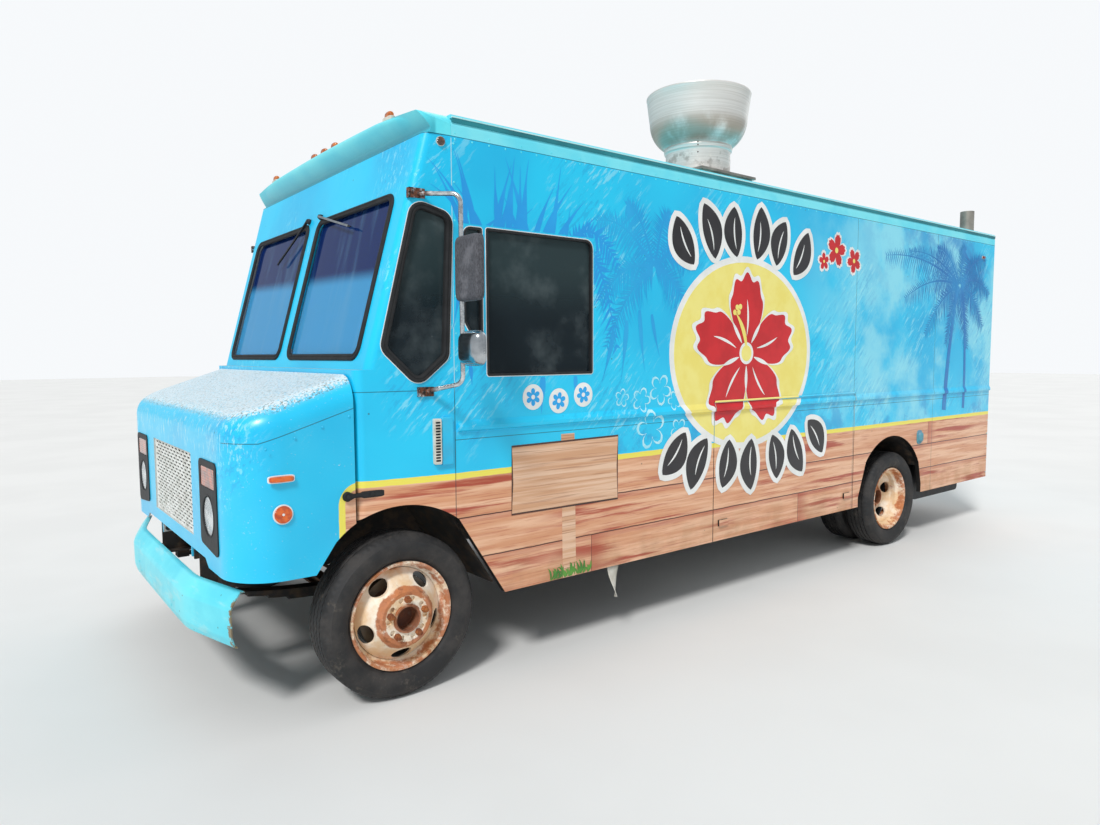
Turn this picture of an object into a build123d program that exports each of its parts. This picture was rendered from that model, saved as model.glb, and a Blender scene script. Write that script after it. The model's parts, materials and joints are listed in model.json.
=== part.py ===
from build123d import *
import math
import os

os.makedirs("parts", exist_ok=True)

# A step van made into a food truck. Sizes are millimetres and angles degrees.
# +X is forward, +Y the driver's side, +Z up, with the ground at z = 0 and the origin mid-length.

# Layout
wheelbase = 4521
front_overhang = 838        # front axle to the bumper's face
rear_overhang = 1723        # rear axle to the rear wall's outside face
rear_step_depth = 120
body_width = 2360
skirt_z = 405               # lower edge of the body sides
cant_z = 2625               # top of the side walls, under the roof's cove
gutter_z = 2718
roof_crown_z = 2764
wall_thickness = 36
roof_thickness = 34
floor_top_z = 810
floor_thickness = 28

half_width = body_width / 2
front_axle_x = (front_overhang + wheelbase + rear_overhang + rear_step_depth) / 2 - front_overhang
rear_axle_x = front_axle_x - wheelbase
body_rear_x = rear_axle_x - rear_overhang

# Cab and hood, as distances ahead of the front axle
cab_seam_ahead = -269
cowl_ahead = 204
windshield_foot_ahead = 140
windshield_foot_z = 1601
windshield_lean = 15.2
cab_taper = 7.4             # the cab sides lean in towards the front, seen from above
cab_corner_radius = 45
cowl_z = 1545
shell_low_z = 700
hood_gap = 9
hood_front_ahead = 737
hood_thickness = 9
hood_corner_radius = 225
hood_shoulder_radius = 120
hood_nose_z = 1345
hood_rear_z = 1525
hood_front_z = 690
hood_side_z = 655

# Wheels and axles
axle_z = 390
tyre_radius = axle_z
tyre_width = 226
rim_flange_radius = 258
bead_radius = 247.5
rim_width = 152
front_wheel_y = 1047
rear_outer_wheel_y = 1035
dual_spacing = 260
disc_thickness = 12
disc_offset = dual_spacing / 2 - disc_thickness  # from a rim's centre plane to its disc
hub_bore_radius = 66
hand_hole_count = 5
hand_hole_circle_radius = 184
hand_hole_half = (30, 50)      # towards the rim, along it
stud_count = 10
stud_circle_radius = 92.1
stud_hole_radius = 13
kingpin_y = 905

steer_arm = 165             # behind the kingpin
steer_arm_z = 312

# Frame and drive line
rail_outside_y = 432
rail_height = 203
rail_top_z = 700
rail_flange = 66
rail_thickness = 8
rail_front_ahead = 715
hanger_shares = (0.22, 0.42, 0.64)  # of the wheelbase: crossmembers that carry hangers below them
sill_count = 9
sill_front_ahead = -700
sill_reach = 510
spring_y = 470
spring_width = 76
leaf_thickness = 13
front_spring = {"z": 360, "length": 1240, "rise": 62, "leaves": 4}   # z of the lowest leaf's underside
rear_spring = {"z": 458, "length": 1340, "rise": 26, "leaves": 5}
gearbox_z = 540
gearbox_rear_ahead = -820
gearbox_radius = 118
engine_tunnel_half = 330
engine_tunnel_z = 1290

# Inside
driver_y = half_width - 620
driver_seat_ahead = -640
seat_plate_z = 1200
counter_depth = 644
counter_top = 30
dash_low_z = 1330
dash_top_z = 1490

# Roof fan
fan = {"ahead": -2829, "y": 450, "curb_half": 280, "plate_half": 300, "plate_z": 2890, "plate": 18,
       "neck_radius": 236, "neck_top": 3085, "collar_radius": 246, "collar_top": 3128,
       "rim_radius": 381, "rim_z": 3498, "sheet": 5, "motor_radius": 120, "motor_top": 3220}

# Clearances
door_gap = 6
seat = 0.3                  # between pieces of different bodies that meet


def at(ahead):
    """X of a point a given distance ahead of the front axle."""
    return front_axle_x + ahead


def along(share):
    """X of a point a share of the wheelbase behind the front axle."""
    return front_axle_x - share * wheelbase


def block(x0, x1, y0, y1, z0, z1):
    """A box between two corners."""
    return Pos((x0 + x1) / 2, (y0 + y1) / 2, (z0 + z1) / 2) * Box(abs(x1 - x0), abs(y1 - y0), abs(z1 - z0))


def side_plate(outline, y0, y1):
    """An outline drawn in X and Z, thick from y0 to y1."""
    return extrude(Plane.XZ.offset(-y0) * outline, y0 - y1)


def front_plate(outline, x0, x1):
    """An outline drawn in Y and Z, thick from x0 to x1."""
    return extrude(Plane.YZ.offset(x0) * outline, x1 - x0)


def plan_plate(outline, z0, z1):
    """An outline drawn in X and Y, thick from z0 to z1."""
    return extrude(Plane.XY.offset(z0) * outline, z1 - z0)


def polygon(*points):
    """A face with straight sides."""
    return make_face(Polyline(*points, close=True))


def window(x0, x1, z0, z1, radius):
    """A rectangle with rounded corners between two corners."""
    return Pos((x0 + x1) / 2, (z0 + z1) / 2) * RectangleRounded(x1 - x0, z1 - z0, radius)


def rod(start, end, radius):
    """A round bar from one point to another."""
    axis = Vector(*end) - Vector(*start)
    return extrude(Plane(origin=start, z_dir=axis) * Circle(radius), axis.length)


def disc_y(x, y0, y1, z, radius):
    """A cylinder along Y."""
    return rod((x, y0, z), (x, y1, z), radius)


def disc_x(x0, x1, y, z, radius):
    """A cylinder along X."""
    return rod((x0, y, z), (x1, y, z), radius)


def disc_z(x, y, z0, z1, radius):
    """A cylinder along Z."""
    return rod((x, y, z0), (x, y, z1), radius)


def both_sides(shape):
    """A shape and its mirror image across the truck's middle."""
    return [shape, mirror(shape, Plane.XZ)]


def save(name, *shapes):
    """Write the solids of one piece under its name."""
    solids = [solid for shape in shapes for solid in shape.solids()]
    export_step(Compound(children=solids) if len(solids) > 1 else solids[0], f"parts/{name}.step")


# Wheel arches, cut from the body sides, the cab and the hood alike

arch_inside_y = 560
rear_house_y = rear_outer_wheel_y - dual_spacing - tyre_width / 2 - 62
house_low_z = 640
front_flap = {"ahead": -300, "low": 430}    # the front house's rear wall runs down to a splash panel


def front_arch():
    """The front wheel's opening in the side: a flat arc with straight flanks."""
    foot, rear_turn, crown, front_turn, nose = [
        (at(ahead), z) for ahead, z in ((-558, skirt_z - 12), (-286, 818), (30, 915), (309, 785), (410, 640))]
    tail = (foot[0], 0)
    front = (nose[0], 0)
    edges = [Line(tail, foot), Line(foot, rear_turn), ThreePointArc(rear_turn, crown, front_turn)]
    edges += [Line(front_turn, nose), Line(nose, front), Line(front, tail)]
    return make_face(Wire(edges))


def rear_arch():
    """The rear wheel's opening in the side."""
    foot, rear_turn, crown, front_turn, nose = [
        (rear_axle_x + ahead, z) for ahead, z in ((-407, 480), (-357, 672), (72, 930), (506, 751), (612, 480))]
    tail = (foot[0], 0)
    front = (nose[0], 0)
    edges = [Line(tail, foot), Line(foot, rear_turn), ThreePointArc(rear_turn, crown, front_turn)]
    edges += [Line(front_turn, nose), Line(nose, front), Line(front, tail)]
    return make_face(Wire(edges))


def arch_cutters(outline, inside_y):
    """The two wheel openings, from the middle side of each wheel out past the body."""
    return both_sides(side_plate(outline, inside_y, half_width + 100))


# Cab front

windshield_pane = {"inner_y": 75, "outer_y": 1004, "foot": 0, "height": 782, "radius": 55}
quarter_window = ((0, 48), (27, 701), (168, 822), (330, 661), (172, 0))  # ahead of the rear edge, down from the top
quarter_window_top_z = 2303
seal_width = 30


def lean_x(z):
    """X of the windshield's plane at a height."""
    return at(windshield_foot_ahead) - math.tan(math.radians(windshield_lean)) * (z - windshield_foot_z)


def cab_half_width(ahead):
    """Half the cab's width, narrower towards the front."""
    return half_width - math.tan(math.radians(cab_taper)) * (ahead - cab_seam_ahead)


def cab_form(inset, low_z, high_z):
    """The cab's solid form behind the hood, inset on its front and sides for the inside."""
    rear = at(cab_seam_ahead) - (1 if inset else 0)
    front = at(cowl_ahead)
    plan = polygon((rear, cab_half_width(cab_seam_ahead) - inset), (front, cab_half_width(cowl_ahead) - inset),
                   (front, inset - cab_half_width(cowl_ahead)), (rear, inset - cab_half_width(cab_seam_ahead)))
    lean_inset = inset / math.cos(math.radians(windshield_lean))
    profile = polygon((rear, low_z), (front - inset, low_z), (front - inset, cowl_z - inset),
                      (lean_x(cowl_z - inset) - lean_inset, cowl_z - inset),
                      (lean_x(high_z) - lean_inset, high_z), (rear, high_z))
    form = plan_plate(plan, low_z, high_z) & side_plate(profile, -half_width, half_width)
    if inset:
        return form
    upright = form.edges().filter_by(lambda edge: abs(edge.tangent_at(0.5).Z) > 0.9)
    corners = upright.filter_by(lambda edge: edge.center().X > rear + 100)
    return fillet(corners, cab_corner_radius)


def lean_plane(offset):
    """The windshield's plane, its first axis across the truck and its second up the glass."""
    lean = math.radians(windshield_lean)
    origin = Vector(at(windshield_foot_ahead), 0, windshield_foot_z)
    normal = Vector(math.cos(lean), 0, math.sin(lean))
    return Plane(origin=origin + normal * offset, x_dir=(0, 1, 0), z_dir=normal)


def pane_outline(grow):
    """One windshield pane seen square on, larger by a margin."""
    pane = windshield_pane
    width = pane["outer_y"] - pane["inner_y"] + 2 * grow
    middle = (pane["inner_y"] + pane["outer_y"]) / 2
    return Pos(middle, pane["foot"] + pane["height"] / 2) * RectangleRounded(
        width, pane["height"] + 2 * grow, pane["radius"] + grow)


def pane_solid(grow, inner, outer):
    """A windshield pane on the driver's side, between two depths from the sheet metal."""
    return extrude(lean_plane(inner) * pane_outline(grow), outer - inner)


def quarter_plane(offset):
    """The driver's tapered cab side, its first axis forward and its second up."""
    taper = math.radians(cab_taper)
    normal = Vector(math.sin(taper), math.cos(taper), 0)
    origin = Vector(at(cab_seam_ahead), half_width, 0) + normal * offset
    return Plane(origin=origin, x_dir=(-math.cos(taper), math.sin(taper), 0), z_dir=normal)


def quarter_outline(grow):
    """The quarter window seen square on: slanted in front, rounded at its corners."""
    rear_x = 14
    points = [(-rear_x - ahead, quarter_window_top_z - down) for ahead, down in quarter_window]
    face = fillet(polygon(*points).vertices(), 50)
    return offset(face, grow) if grow else face


def quarter_solid(grow, inner, outer):
    """The driver's quarter window between two depths from the cab's side."""
    return extrude(quarter_plane(inner) * quarter_outline(grow), outer - inner)


def build_cab():
    """The cab's front shell with its windshield and quarter window openings, glass and rubber seals."""
    shell = cab_form(0, shell_low_z, cant_z) - cab_form(wall_thickness, shell_low_z - 1, cant_z + 1)
    for cutter in arch_cutters(front_arch(), arch_inside_y):
        shell -= cutter
    deep = 160
    for cutter in both_sides(pane_solid(0, -deep, deep)) + both_sides(quarter_solid(0, -deep, deep)):
        shell -= cutter
    tunnel = block(at(cowl_ahead) - 80, at(cowl_ahead) + 10, -engine_tunnel_half, engine_tunnel_half, 0,
                   engine_tunnel_z)
    shell -= tunnel
    vent = block(at(-189), at(-163), half_width - 60, half_width + 5, 1098, 1303)
    for louvre in both_sides(vent - cab_form(wall_thickness, shell_low_z, cant_z)):
        shell += louvre
    save("cab_front_shell", shell)
    glass = both_sides(pane_solid(-0.5, -22, -16)) + both_sides(quarter_solid(-0.5, -22, -16))
    for pane in (slot_outline(-0.5), side_window_outline(-0.5)):
        glass.append(side_plate(pane, half_width - 22, half_width - 16))
    save("cab_glass", *glass)
    seals = both_sides(pane_solid(seal_width / 2, 0, 9) - pane_solid(-seal_width / 2, -1, 10))
    seals += both_sides(quarter_solid(seal_width / 2, 0, 9) - quarter_solid(-seal_width / 2, -1, 10))
    save("window_seals", *seals)


# Roof cap over the windshield

clearance_lamp_places = (-828, -152, 0, 152, 828)
cap_profile = ((-158, 2625), (-172, 2643), (-154, 2668), (-100, 2742), (-112, 2764))  # ahead, z
cap_nose_radius = 14
cap_corner_radius = 85
cab_marker = {"ahead": -217, "z": 2591, "radius": 22, "proud": 16}


def build_roof_cap():
    """The moulded cap over the cab, its brow leaning out past the windshield, and the lamps on it."""
    rear = at(cab_seam_ahead)
    nose = [(at(ahead), z) for ahead, z in cap_profile]
    profile = polygon((rear, cant_z), *nose, (rear, roof_crown_z))
    rounded = profile.vertices().filter_by(lambda corner: corner.X > at(-120) or corner.X < nose[1][0] + 1)
    profile = fillet(rounded.filter_by(lambda corner: corner.X > rear + 1), cap_nose_radius)
    width = cab_half_width(cab_seam_ahead)
    front = nose[3][0]
    plan = polygon((rear, width), (front, width - 12), (front, 12 - width), (rear, -width))
    plan = fillet(plan.vertices().filter_by(lambda corner: corner.X > rear + 1), cap_corner_radius)
    form = side_plate(profile, -width, width) & plan_plate(plan, cant_z - 1, roof_crown_z + 1)
    section = body_section(0, cant_z - 1)
    form = form & front_plate(section, rear - 1, at(0))
    inner_profile = polygon((rear - 1, cant_z - 1), (at(-185), cant_z - 1), (at(-150), 2728),
                            (rear - 1, roof_crown_z - roof_thickness))
    hollow = side_plate(inner_profile, wall_thickness - width + 10, width - wall_thickness - 10)
    cap = form - hollow
    save("roof_cap", cap)
    lamps = []
    for y in clearance_lamp_places:
        lens = Pos(at(-131), y, 2725) * extrude(RectangleRounded(34, 96, 15), 66)
        lamps.append(lens - form)
    m = cab_marker
    side = cab_half_width(m["ahead"])
    marker = disc_y(at(m["ahead"]), side - 20, side + m["proud"], m["z"], m["radius"])
    return lamps + both_sides(marker - cab_form(0, shell_low_z, cant_z))


def body_section(inset, low_z):
    """The body's cross-section: upright sides, a rounded cant and a crowned roof."""
    side = half_width - inset
    cant_radius = 56 - inset
    shoulder_z = gutter_z + 6 - inset
    crown = roof_crown_z - inset
    bend_z = shoulder_z - cant_radius
    middle = (side - cant_radius * (1 - math.cos(math.radians(45))), bend_z + cant_radius * math.sin(math.radians(45)))
    edges = [Line((-side, low_z), (side, low_z)), Line((side, low_z), (side, bend_z))]
    edges += [ThreePointArc((side, bend_z), middle, (side - cant_radius, shoulder_z))]
    edges += [ThreePointArc((side - cant_radius, shoulder_z), (0, crown), (cant_radius - side, shoulder_z))]
    edges += [ThreePointArc((cant_radius - side, shoulder_z), (-middle[0], middle[1]), (-side, bend_z))]
    edges += [Line((-side, bend_z), (-side, low_z))]
    return make_face(Wire(edges))


# Body behind the cab

rib_z = 1240
rib_height = 58
rib_depth = 14
slot_window = {"rear": -429, "front": -331, "low": 1701, "top": 2214, "radius": 38, "bevel": 70}
side_window = {"rear": -1138, "front": -460, "low": 1510, "top": 2217, "radius": 42}
locker = {"rear": 691 - wheelbase, "front": -2166, "top": 1306}
hatch = {"rear": 271 - wheelbase, "front": -2250, "low": 1240, "top": 2330}
cab_door = {"rear": -1300, "front": -500, "low": 560, "top": 2420, "travel": 780}
rear_door = {"half": 430, "low": 838, "top": 2400}
rear_wall_low = rail_top_z + 4
hinge_barrel = 7


def slot_outline(grow):
    """The narrow fixed window: its front edge rounded above and bevelled below."""
    w = slot_window
    x0, x1, bevel = at(w["rear"]), at(w["front"]), w["bevel"]
    face = polygon((x0, w["low"]), (x1 - bevel * 0.6, w["low"]), (x1, w["low"] + bevel), (x1, w["top"]), (x0, w["top"]))
    upper = face.vertices().filter_by(lambda corner: corner.X > x0 + 1)
    face = fillet(upper.sort_by(Axis.Y)[-1], w["radius"])
    face = fillet(face.vertices().filter_by(lambda corner: corner.Y < w["low"] + bevel + 1), 8)
    return offset(face, grow) if grow else face


def side_window_outline(grow):
    """The sliding side window, square but for its rounded upper rear corner."""
    w = side_window
    face = polygon((at(w["rear"]), w["low"]), (at(w["front"]), w["low"]),
                   (at(w["front"]), w["top"]), (at(w["rear"]), w["top"]))
    rear = face.vertices().filter_by(lambda corner: corner.X < at(w["rear"]) + 1)
    face = fillet(rear.sort_by(Axis.Y)[-1], w["radius"])
    return offset(face, grow) if grow else face


def rib(x0, x1):
    """The rounded rub rail along the driver's side."""
    profile = polygon((half_width - 1, rib_z), (half_width + rib_depth, rib_z + 8),
                      (half_width + rib_depth, rib_z + rib_height * 0.45), (half_width - 1, rib_z + rib_height))
    profile = fillet(profile.vertices().filter_by(lambda corner: corner.X > half_width), 6)
    return front_plate(profile, x0, x1)


def build_sides():
    """The two long side walls, with their windows, doors, hatch and wheel arches cut."""
    front = at(cab_seam_ahead) - 1
    wall = block(body_rear_x, front, half_width - wall_thickness, half_width, skirt_z, cant_z)
    for cutter in (front_arch(), rear_arch()):
        wall -= side_plate(cutter, arch_inside_y, half_width + 100)
    left = wall + rib(body_rear_x + 4, front - 12)
    for opening in (slot_outline(0), side_window_outline(0)):
        left -= side_plate(opening, half_width - 200, half_width + 100)
    left -= block(at(locker["rear"]), at(locker["front"]), half_width - 200, half_width + 100, 0, locker["top"])
    save("body_side_left", left)
    right = mirror(wall, Plane.XZ)
    right -= side_plate(window(at(hatch["rear"]), at(hatch["front"]), hatch["low"], hatch["top"], 8),
                        -half_width - 100, 200 - half_width)
    right -= side_plate(window(at(cab_door["rear"]), at(cab_door["front"]), cab_door["low"], cab_door["top"], 30),
                        -half_width - 100, 200 - half_width)
    save("body_side_right", right)


def build_locker_door():
    """The service locker's top-hinged door, with its piece of the rub rail and a barrel along its hinge."""
    x0 = at(locker["rear"]) + door_gap
    x1 = at(locker["front"]) - door_gap
    top = locker["top"] - door_gap
    door = block(x0, x1, half_width - wall_thickness, half_width, skirt_z, top) + rib(x0, x1)
    barrel_y = half_width + hinge_barrel + seat
    barrel = rod((x0, barrel_y, locker["top"]), (x1, barrel_y, locker["top"]), hinge_barrel)
    leaf = block(x0, x1, half_width - 1, half_width + 3, top - 12, locker["top"])
    handles = [block(x - 45, x + 45, half_width - 1, half_width + 12, 500, 540) for x in (x0 + 90, x1 - 90)]
    save("locker_door", door + barrel + leaf + handles)
    lining_in = 520
    wall = 6
    lap = 10
    rear, front = at(locker["rear"]) - lap, at(locker["front"]) + lap
    top_z = locker["top"] + lap
    low_z = skirt_z + 10
    inside = half_width - wall_thickness
    box = block(rear, front, lining_in, inside, low_z, top_z)
    box -= block(rear + wall, front - wall, lining_in + wall, half_width, low_z + wall, top_z - wall)
    save("locker_box", box - block(x0 - 4, x1 + 4, inside - door_gap, half_width, 0, top + 4))


def build_hatch():
    """The serving hatch's lift-up awning door on the kerb side, and its counter shelf below."""
    x0 = at(hatch["rear"]) + door_gap
    x1 = at(hatch["front"]) - door_gap
    side = -half_width
    outline = window(x0, x1, hatch["low"] + door_gap, hatch["top"] - door_gap, 8)
    door = side_plate(outline, side, side + wall_thickness)
    barrel_y = side - hinge_barrel - seat
    barrel = rod((x0, barrel_y, hatch["top"]), (x1, barrel_y, hatch["top"]), hinge_barrel)
    leaf = block(x0, x1, side - 3, side + 1, hatch["top"] - 18, hatch["top"] - 2)
    handles = [block(x - 60, x + 60, side - 12, side + 1, hatch["low"] + 40, hatch["low"] + 80)
               for x in (x0 + 200, x1 - 200)]
    save("serving_hatch_door", door + barrel + leaf + handles)
    shelf = block(x0, x1, side - 250, side, hatch["low"] - 60, hatch["low"] - 30)
    for x in (x0 + 150, (x0 + x1) / 2, x1 - 150):
        shelf += block(x - 15, x + 15, side - 200, side, hatch["low"] - 160, hatch["low"] - 60)
    save("serving_shelf", shelf)


def build_cab_door():
    """The kerb-side sliding door, which runs back inside the wall on a track over its head."""
    x0 = at(cab_door["rear"]) - 30
    x1 = at(cab_door["front"]) + 20
    y1 = wall_thickness + 6 - half_width
    y2 = y1 + 32
    door = block(x0, x1, y1, y2, cab_door["low"] - 10, cab_door["top"] + 20)
    glass_outline = window(x0 + 120, x1 - 110, 1500, 2250, 60)
    door -= side_plate(glass_outline, y1 - 1, y2 + 1)
    grip = block(x1 - 90, x1 - 60, y2 - 1, y2 + 25, 1150, 1400)
    hanger_z = cab_door["top"] + 20
    hangers = [block(x - 25, x + 25, y1 + 8, y2 - 8, hanger_z - 1, hanger_z + 34) for x in (x0 + 120, x1 - 120)]
    save("cab_door_panel", door + grip + hangers)
    save("cab_door_glass", side_plate(offset(glass_outline, -0.5), y1 + 12, y1 + 18))
    track_z = hanger_z + 34 + seat
    track = block(x0 - cab_door["travel"], x1, y1, y2, track_z, track_z + 30)
    track += block(x0 - cab_door["travel"], x1, y1 - 6, y1, track_z, track_z + 30)
    save("cab_door_track", track)


def build_roof():
    """The roof skin with its rounded cants."""
    front = at(cab_seam_ahead) - 1
    shell = front_plate(body_section(0, cant_z), body_rear_x, front)
    shell -= front_plate(body_section(roof_thickness, cant_z - 1), body_rear_x - 1, front + 1)
    gutter = block(body_rear_x, front, half_width - 40, half_width - 4, gutter_z - 14, gutter_z + 4)
    for rail in both_sides(gutter - front_plate(body_section(roof_thickness / 2, 0), body_rear_x - 1, front + 1)):
        shell += rail
    save("roof_panel", shell)


def build_rear():
    """The rear wall with its door, the door's glass and the step below."""
    outside = body_rear_x - 1
    inside = body_rear_x + wall_thickness
    wall = front_plate(body_section(roof_thickness + 0.3, rear_wall_low), body_rear_x, inside)
    wall = wall & block(outside, inside + 1, wall_thickness - half_width, half_width - wall_thickness, 0, 3000)
    door_half = rear_door["half"]
    wall -= block(outside, inside + 1, -door_half, door_half, rear_door["low"], rear_door["top"])
    save("rear_wall", wall)
    gap = door_gap
    door = block(body_rear_x, inside, gap - door_half, door_half - gap, rear_door["low"] + gap, rear_door["top"] - gap)
    pane = Pos(0, 1920) * RectangleRounded(460, 560, 50)
    door -= front_plate(pane, outside, inside + 1)
    hinge_x = body_rear_x - hinge_barrel - seat
    for z in (1000, 1620, 2240):
        door += disc_z(hinge_x, -door_half, z - 60, z + 60, hinge_barrel)
        door += block(hinge_x - 3, hinge_x + 3, -door_half, 100 - door_half, z - 50, z + 50)
        door += block(hinge_x, body_rear_x + 1, 12 - door_half, 100 - door_half, z - 50, z + 50)
    door += block(body_rear_x - 45, body_rear_x - 25, door_half - 90, door_half - 60, 1250, 1500)
    for z in (1250, 1480):
        door += block(body_rear_x - 45, body_rear_x + 1, door_half - 90, door_half - 60, z, z + 20)
    save("rear_door", door)
    save("rear_door_glass", front_plate(offset(pane, -0.5), body_rear_x + 12, body_rear_x + 18))
    step_x = body_rear_x - rear_step_depth
    step_top = rail_top_z - rail_height - 2
    reach = half_width - 180
    step = block(step_x, body_rear_x - 2, -reach, reach, step_top - 36, step_top)
    step += block(step_x, step_x + 8, -reach, reach, step_top - 90, step_top)
    for sign in (1, -1):
        y = sign * (rail_outside_y - 34)
        step += block(body_rear_x - 20, body_rear_x + 150, y - 30, y + 30, step_top - 36, step_top + 2)
    save("rear_step", step)


def build_floor():
    """The floor, cut away for the wheel houses, the engine cover and the kerb-side step well."""
    low = floor_top_z - floor_thickness
    rear = body_rear_x + wall_thickness
    front = at(-560)
    edge = half_width - wall_thickness
    floor = block(rear, front, 70 - edge, edge, low, floor_top_z)
    floor += block(front - 1, at(150), -540, 540, low, floor_top_z)
    floor -= block(at(-250), at(160), -engine_tunnel_half - 10, engine_tunnel_half + 10, low - 1, floor_top_z + 1)
    floor -= block(at(locker["rear"]) - 11, at(locker["front"]) + 11, 519, edge + 1, low - 1, floor_top_z + 1)
    for cutter in arch_cutters(offset(rear_arch(), 10.5), rear_house_y - 0.5):
        floor -= cutter
    well_inside = 440 - half_width
    floor -= block(at(cab_door["rear"]), at(cab_door["front"]), -half_width, well_inside, low - 1, floor_top_z + 1)
    well_x0 = at(cab_door["rear"])
    well_x1 = at(cab_door["front"])
    well = block(well_x0, well_x1, 70 - edge, well_inside, cab_door["low"] - 30, floor_top_z)
    well -= block(well_x0 + 4, well_x1 - 4, 69 - edge, well_inside - 4, cab_door["low"] - 26, floor_top_z + 1)
    save("floor", floor + well)


def build_wheel_houses():
    """The closed-in boxes over the wheels, front and rear."""
    wall = 4
    edge = half_width - wall_thickness - 2
    rear_outer = side_plate(offset(rear_arch(), 10), rear_house_y, edge)
    rear_inner = side_plate(offset(rear_arch(), 6), rear_house_y + wall, edge + 1)
    above = block(body_rear_x, at(0), 0, half_width, house_low_z, cant_z)
    houses = both_sides((rear_outer - rear_inner) & above)
    front_outer = side_plate(offset(front_arch(), 12), arch_inside_y, cab_half_width(cowl_ahead) - wall_thickness - 3)
    front_inner = side_plate(offset(front_arch(), 8), arch_inside_y + wall, half_width)
    kept = block(at(sill_front_ahead), at(cowl_ahead) - wall_thickness, 0, half_width, house_low_z, cant_z)
    kept += block(at(sill_front_ahead), at(front_flap["ahead"]), 0, half_width, front_flap["low"], house_low_z + 1)
    save("wheel_houses", *houses, *both_sides((front_outer - front_inner) & kept))


# Hood

grille = {"half": 430, "low": 757, "top": 1153, "rows": 22, "slots": 11}
headlamp_outer_y = cab_half_width(cowl_ahead) - hood_corner_radius - 8
headlamp = {"inner_y": headlamp_outer_y - 285, "outer_y": headlamp_outer_y, "low": 742, "top": 1150,
            "lens_z": 901, "lens_radius": 89}
hood_hinge = {"ahead": 705, "z": 650, "y": 330, "pin_radius": 12}


def hood_form(inset):
    """The hood's solid form, inset for the inside: round corners in plan, round shoulders, a sloping top."""
    rear = at(cowl_ahead) + hood_gap
    front = at(hood_front_ahead) - inset
    back = rear - (1 if inset else 0)
    wide = cab_half_width(cowl_ahead) - inset
    plan = polygon((back, wide), (front, wide - 6), (front, 6 - wide), (back, -wide))
    plan = fillet(plan.vertices().filter_by(lambda corner: corner.X > back + 10), hood_corner_radius - inset)
    low = hood_side_z - (1 if inset else 0)
    profile = polygon((back, low), (front, low), (front, hood_nose_z - inset), (back, hood_rear_z - inset))
    form = plan_plate(plan, low, hood_rear_z + 50) & side_plate(profile, -half_width, half_width)
    top = form.faces().sort_by(Axis.Z)[-1]
    rim = top.edges().filter_by(lambda edge: edge.center().X > back + 1)
    return fillet(rim, hood_shoulder_radius - inset)


def headlamp_outline(grow):
    """The driver's lamp bezel seen from the front, its lower outer corner cut away."""
    lamp = headlamp
    face = polygon((lamp["inner_y"], lamp["low"] + 20), (lamp["outer_y"], lamp["low"] - 6),
                   (lamp["outer_y"], lamp["top"]), (lamp["inner_y"], lamp["top"]))
    face = fillet(face.vertices(), 30)
    return offset(face, grow) if grow else face


def build_hood():
    """The one-piece tilting hood and fenders, with its grille, lamps, latches and side markers."""
    hood = hood_form(0) - hood_form(hood_thickness)
    for cutter in arch_cutters(front_arch(), arch_inside_y):
        hood -= cutter
    front = at(hood_front_ahead)
    grille_hole = Pos(0, (grille["low"] + grille["top"]) / 2) * Rectangle(
        2 * grille["half"], grille["top"] - grille["low"])
    hood -= front_plate(grille_hole, front - 60, front + 5)
    for cutter in both_sides(front_plate(headlamp_outline(0), front - 60, front + 5)):
        hood -= cutter
    lower_edge = polygon((-700, hood_side_z - 5), (-640, hood_front_z), (640, hood_front_z), (700, hood_side_z - 5))
    hood -= front_plate(lower_edge, front - 60, front + 5)
    hinge_x = at(hood_hinge["ahead"])
    hinge_z = hood_hinge["z"]
    for sign in (1, -1):
        y = sign * hood_hinge["y"]
        ear = block(hinge_x - 22, hinge_x + 22, y - 8, y + 8, hinge_z - 20, hood_front_z + 30)
        ear += block(hinge_x - 22, front - hood_thickness + 1, y - 8, y + 8, hood_front_z + 2, hood_front_z + 30)
        hood += ear - disc_y(hinge_x, y - 20, y + 20, hinge_z, hood_hinge["pin_radius"] + seat)
    save("hood_shell", hood)
    save("grille", build_grille())
    bezels = []
    lenses = []
    turn_lamps = []
    lamp = headlamp
    for solid in both_sides(front_plate(headlamp_outline(-0.4), front - 42, front + 6)):
        sign = 1 if solid.center().Y > 0 else -1
        low, top = sorted((sign * (lamp["inner_y"] + 28), sign * (lamp["outer_y"] - 28)))
        turn = block(front - 20, front + 7, low, top, lamp["top"] - 122, lamp["top"] - 30)
        lens_y = (low + top) / 2
        head = disc_x(front - 20, front + 7, lens_y, lamp["lens_z"], lamp["lens_radius"])
        bezels.append(solid - turn - head)
        turn_lamps.append(block(front - 19.7, front + 4, low + 0.4, top - 0.4, lamp["top"] - 121.6, lamp["top"] - 30.4))
        lens = disc_x(front - 19.7, front + 8, lens_y, lamp["lens_z"], lamp["lens_radius"] - 0.4)
        lenses.append(fillet(lens.edges().group_by(Axis.X)[-1], 7))
    save("headlamp_bezels", *bezels)
    save("headlamp_lenses", *lenses)
    wide = cab_half_width(cowl_ahead)
    cab_side = cab_half_width(70) + seat
    strap = block(at(70), at(262), cab_side, cab_side + 16, 970, 1000)
    strap += block(at(222), at(275), wide, cab_side + 16, 962, 1008)
    save("hood_latches", *both_sides(strap))
    marker = block(at(485), at(595), wide - 20, wide + 16, 1080, 1108) - hood_form(0)
    reflector = disc_y(at(537), wide - 20, wide + 8, 943, 40) - hood_form(0)
    save("hood_amber_lamps", *turn_lamps, *both_sides(marker), *both_sides(reflector))


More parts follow.
